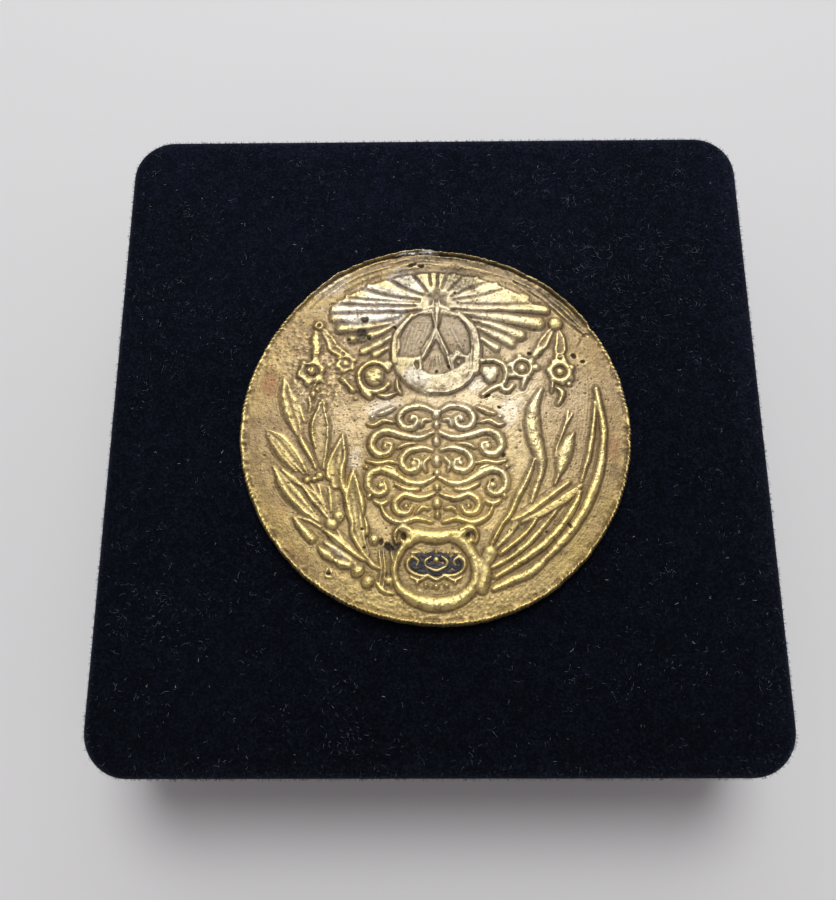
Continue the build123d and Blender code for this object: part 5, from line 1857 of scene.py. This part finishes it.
def solder_piece(material):
    """Flattened bead of solder left along the top of the rim, lumpy and thinner at its ends."""
    around = 16
    steps = 70
    share = np.linspace(0, 1, steps)
    angle = np.radians(SOLDER_START + SOLDER_SWEEP * share)
    turn = 2 * np.pi * np.arange(around) / around
    s, t = np.meshgrid(share, turn, indexing="ij")
    a = np.repeat(angle[:, None], around, axis=1)
    lumps = 1 + 0.35 * value_noise(s.ravel() * 6, t.ravel() * 0.5, 0.45, 301).reshape(s.shape)
    size = np.clip(np.sin(np.pi * np.clip(s, 0.003, 0.997)), 0, 1) ** 0.35 * lumps
    r = (edge_radius(angle)[:, None] - 0.40) + 0.42 * size * np.cos(t)
    z = COIN_LOW[2] + FIELD + 0.06 + 0.22 * size * np.sin(t)
    verts = np.column_stack([(COIN_X + r * np.cos(a)).ravel(), (COIN_Y + r * np.sin(a)).ravel(), z.ravel()])
    ends = [verts[:around].mean(axis=0), verts[-around:].mean(axis=0)]
    quads = grid_quads(steps, around, wrap=True).tolist()
    first = len(verts)
    for k in range(around):
        after = (k + 1) % around
        quads.append([first, k, after])
        quads.append([first + 1, (steps - 1) * around + after, (steps - 1) * around + k])
    piece = mesh_piece("solder_bead", np.vstack([verts, ends]), quads)
    piece.data.materials.append(material)
    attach(piece, "coin")
    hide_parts("edge_solder")


def cartouche_paint(material):
    """Broken film of paint lying round the raised work inside the oval frame."""
    count = detail(60, 130)
    unit_x, unit_y = disc_grid(count)
    x = PAINT_HALF[0] * unit_x.ravel()
    y = PAINT_Y + PAINT_HALF[1] * unit_y.ravel()
    relief = Relief(x, y)
    cartouche(relief)
    share = 1 - smoothstep(0.75, 1.05, np.hypot(x / 4.1, (y + 17.7) / 1.85))
    share = share * smoothstep(-1.0, -0.45, layered_noise(x, y, 0.8, 310, 3))
    share = share * (1 - smoothstep(0.16, 0.26, relief.height))
    share = share * (1 - smoothstep(0.35, 0.6, relief.gap + 0.25 * value_noise(x, y, 0.7, 312)))
    top = worn_field(x, y) + 0.28 * share - 0.16 + 0.02 * value_noise(x, y, 0.3, 311)
    top = top + 0.5 * relief.height * share
    low = np.full(len(x), PAINT_BOTTOM)
    verts = np.concatenate([np.column_stack([x + COIN_X, y + COIN_Y, COIN_LOW[2] + FIELD + z])
                            for z in (top, low)])
    faces = grid_quads(count, count)
    under = faces[:, ::-1] + count * count
    border = grid_border(count)
    after = np.roll(border, -1)
    wall = np.column_stack([after, border, border + count * count, after + count * count])
    piece = quad_mesh("cartouche_paint", verts, np.concatenate([faces, under, wall]))
    piece.data.materials.append(material)
    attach(piece, "coin")
    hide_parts("cartouche_fill")


# ---- Build ----
make_camera()
make_world()
make_stage()
area_light("window", elevation=63, azimuth=2, distance=1.0, size=0.46, power=4.45)
area_light("sky", elevation=40, azimuth=2, distance=1.2, size=1.1, power=4.5)

velvet = velvet_material()
lid_velvet(velvet)
base_velvet(velvet)
lint = lint_material("lint", (0.11, 0.135, 0.19), (0.38, 0.42, 0.53))
lid_lint(lint)
lid_curls(lint)
wall_lint(lint, "lid", low=LID_BOTTOM + 1.0, high=CASE_TOP - 1.8, back_low=LID_BOTTOM + 6.0, seed=105)
wall_lint(lint, "base", low=1.0, high=BASE_TOP - 1.0, back_low=1.0, seed=106)
lid_specks(lint_material("pale_lint", (0.45, 0.47, 0.50), (0.80, 0.82, 0.86)))
edge_fuzz(lint_material("loose_pile", (0.012, 0.016, 0.030), (0.035, 0.045, 0.075)))

insert_pieces(velvet, foam_material())
liner_pad(satin_material())
dress(plastic_material(), "base_shell", "lid_shell")
dress(card_material(), "insert_board", "lid_liner_board", "base_sheet")
leaf_steel = steel_material("hinge_steel", (0.62, 0.60, 0.56), (0.20, 0.15, 0.10), 0.32)
dress(leaf_steel, "hinge_base_leaf_left", "hinge_base_leaf_right", "hinge_lid_leaf_left",
      "hinge_lid_leaf_right", "hinge_pin_left", "hinge_pin_right")
dress(steel_material("rivet_steel", (0.66, 0.64, 0.60), (0.22, 0.17, 0.12), 0.38),
      "base_rivets", "lid_rivets")
dress(steel_material("spring_steel", (0.50, 0.50, 0.52), (0.16, 0.13, 0.10), 0.30),
      "hinge_spring_left", "hinge_spring_right")

coin_piece(brass_material())
solder_piece(solder_material())
cartouche_paint(black_paint_material())

bpy.context.scene.view_settings.view_transform = "Standard"
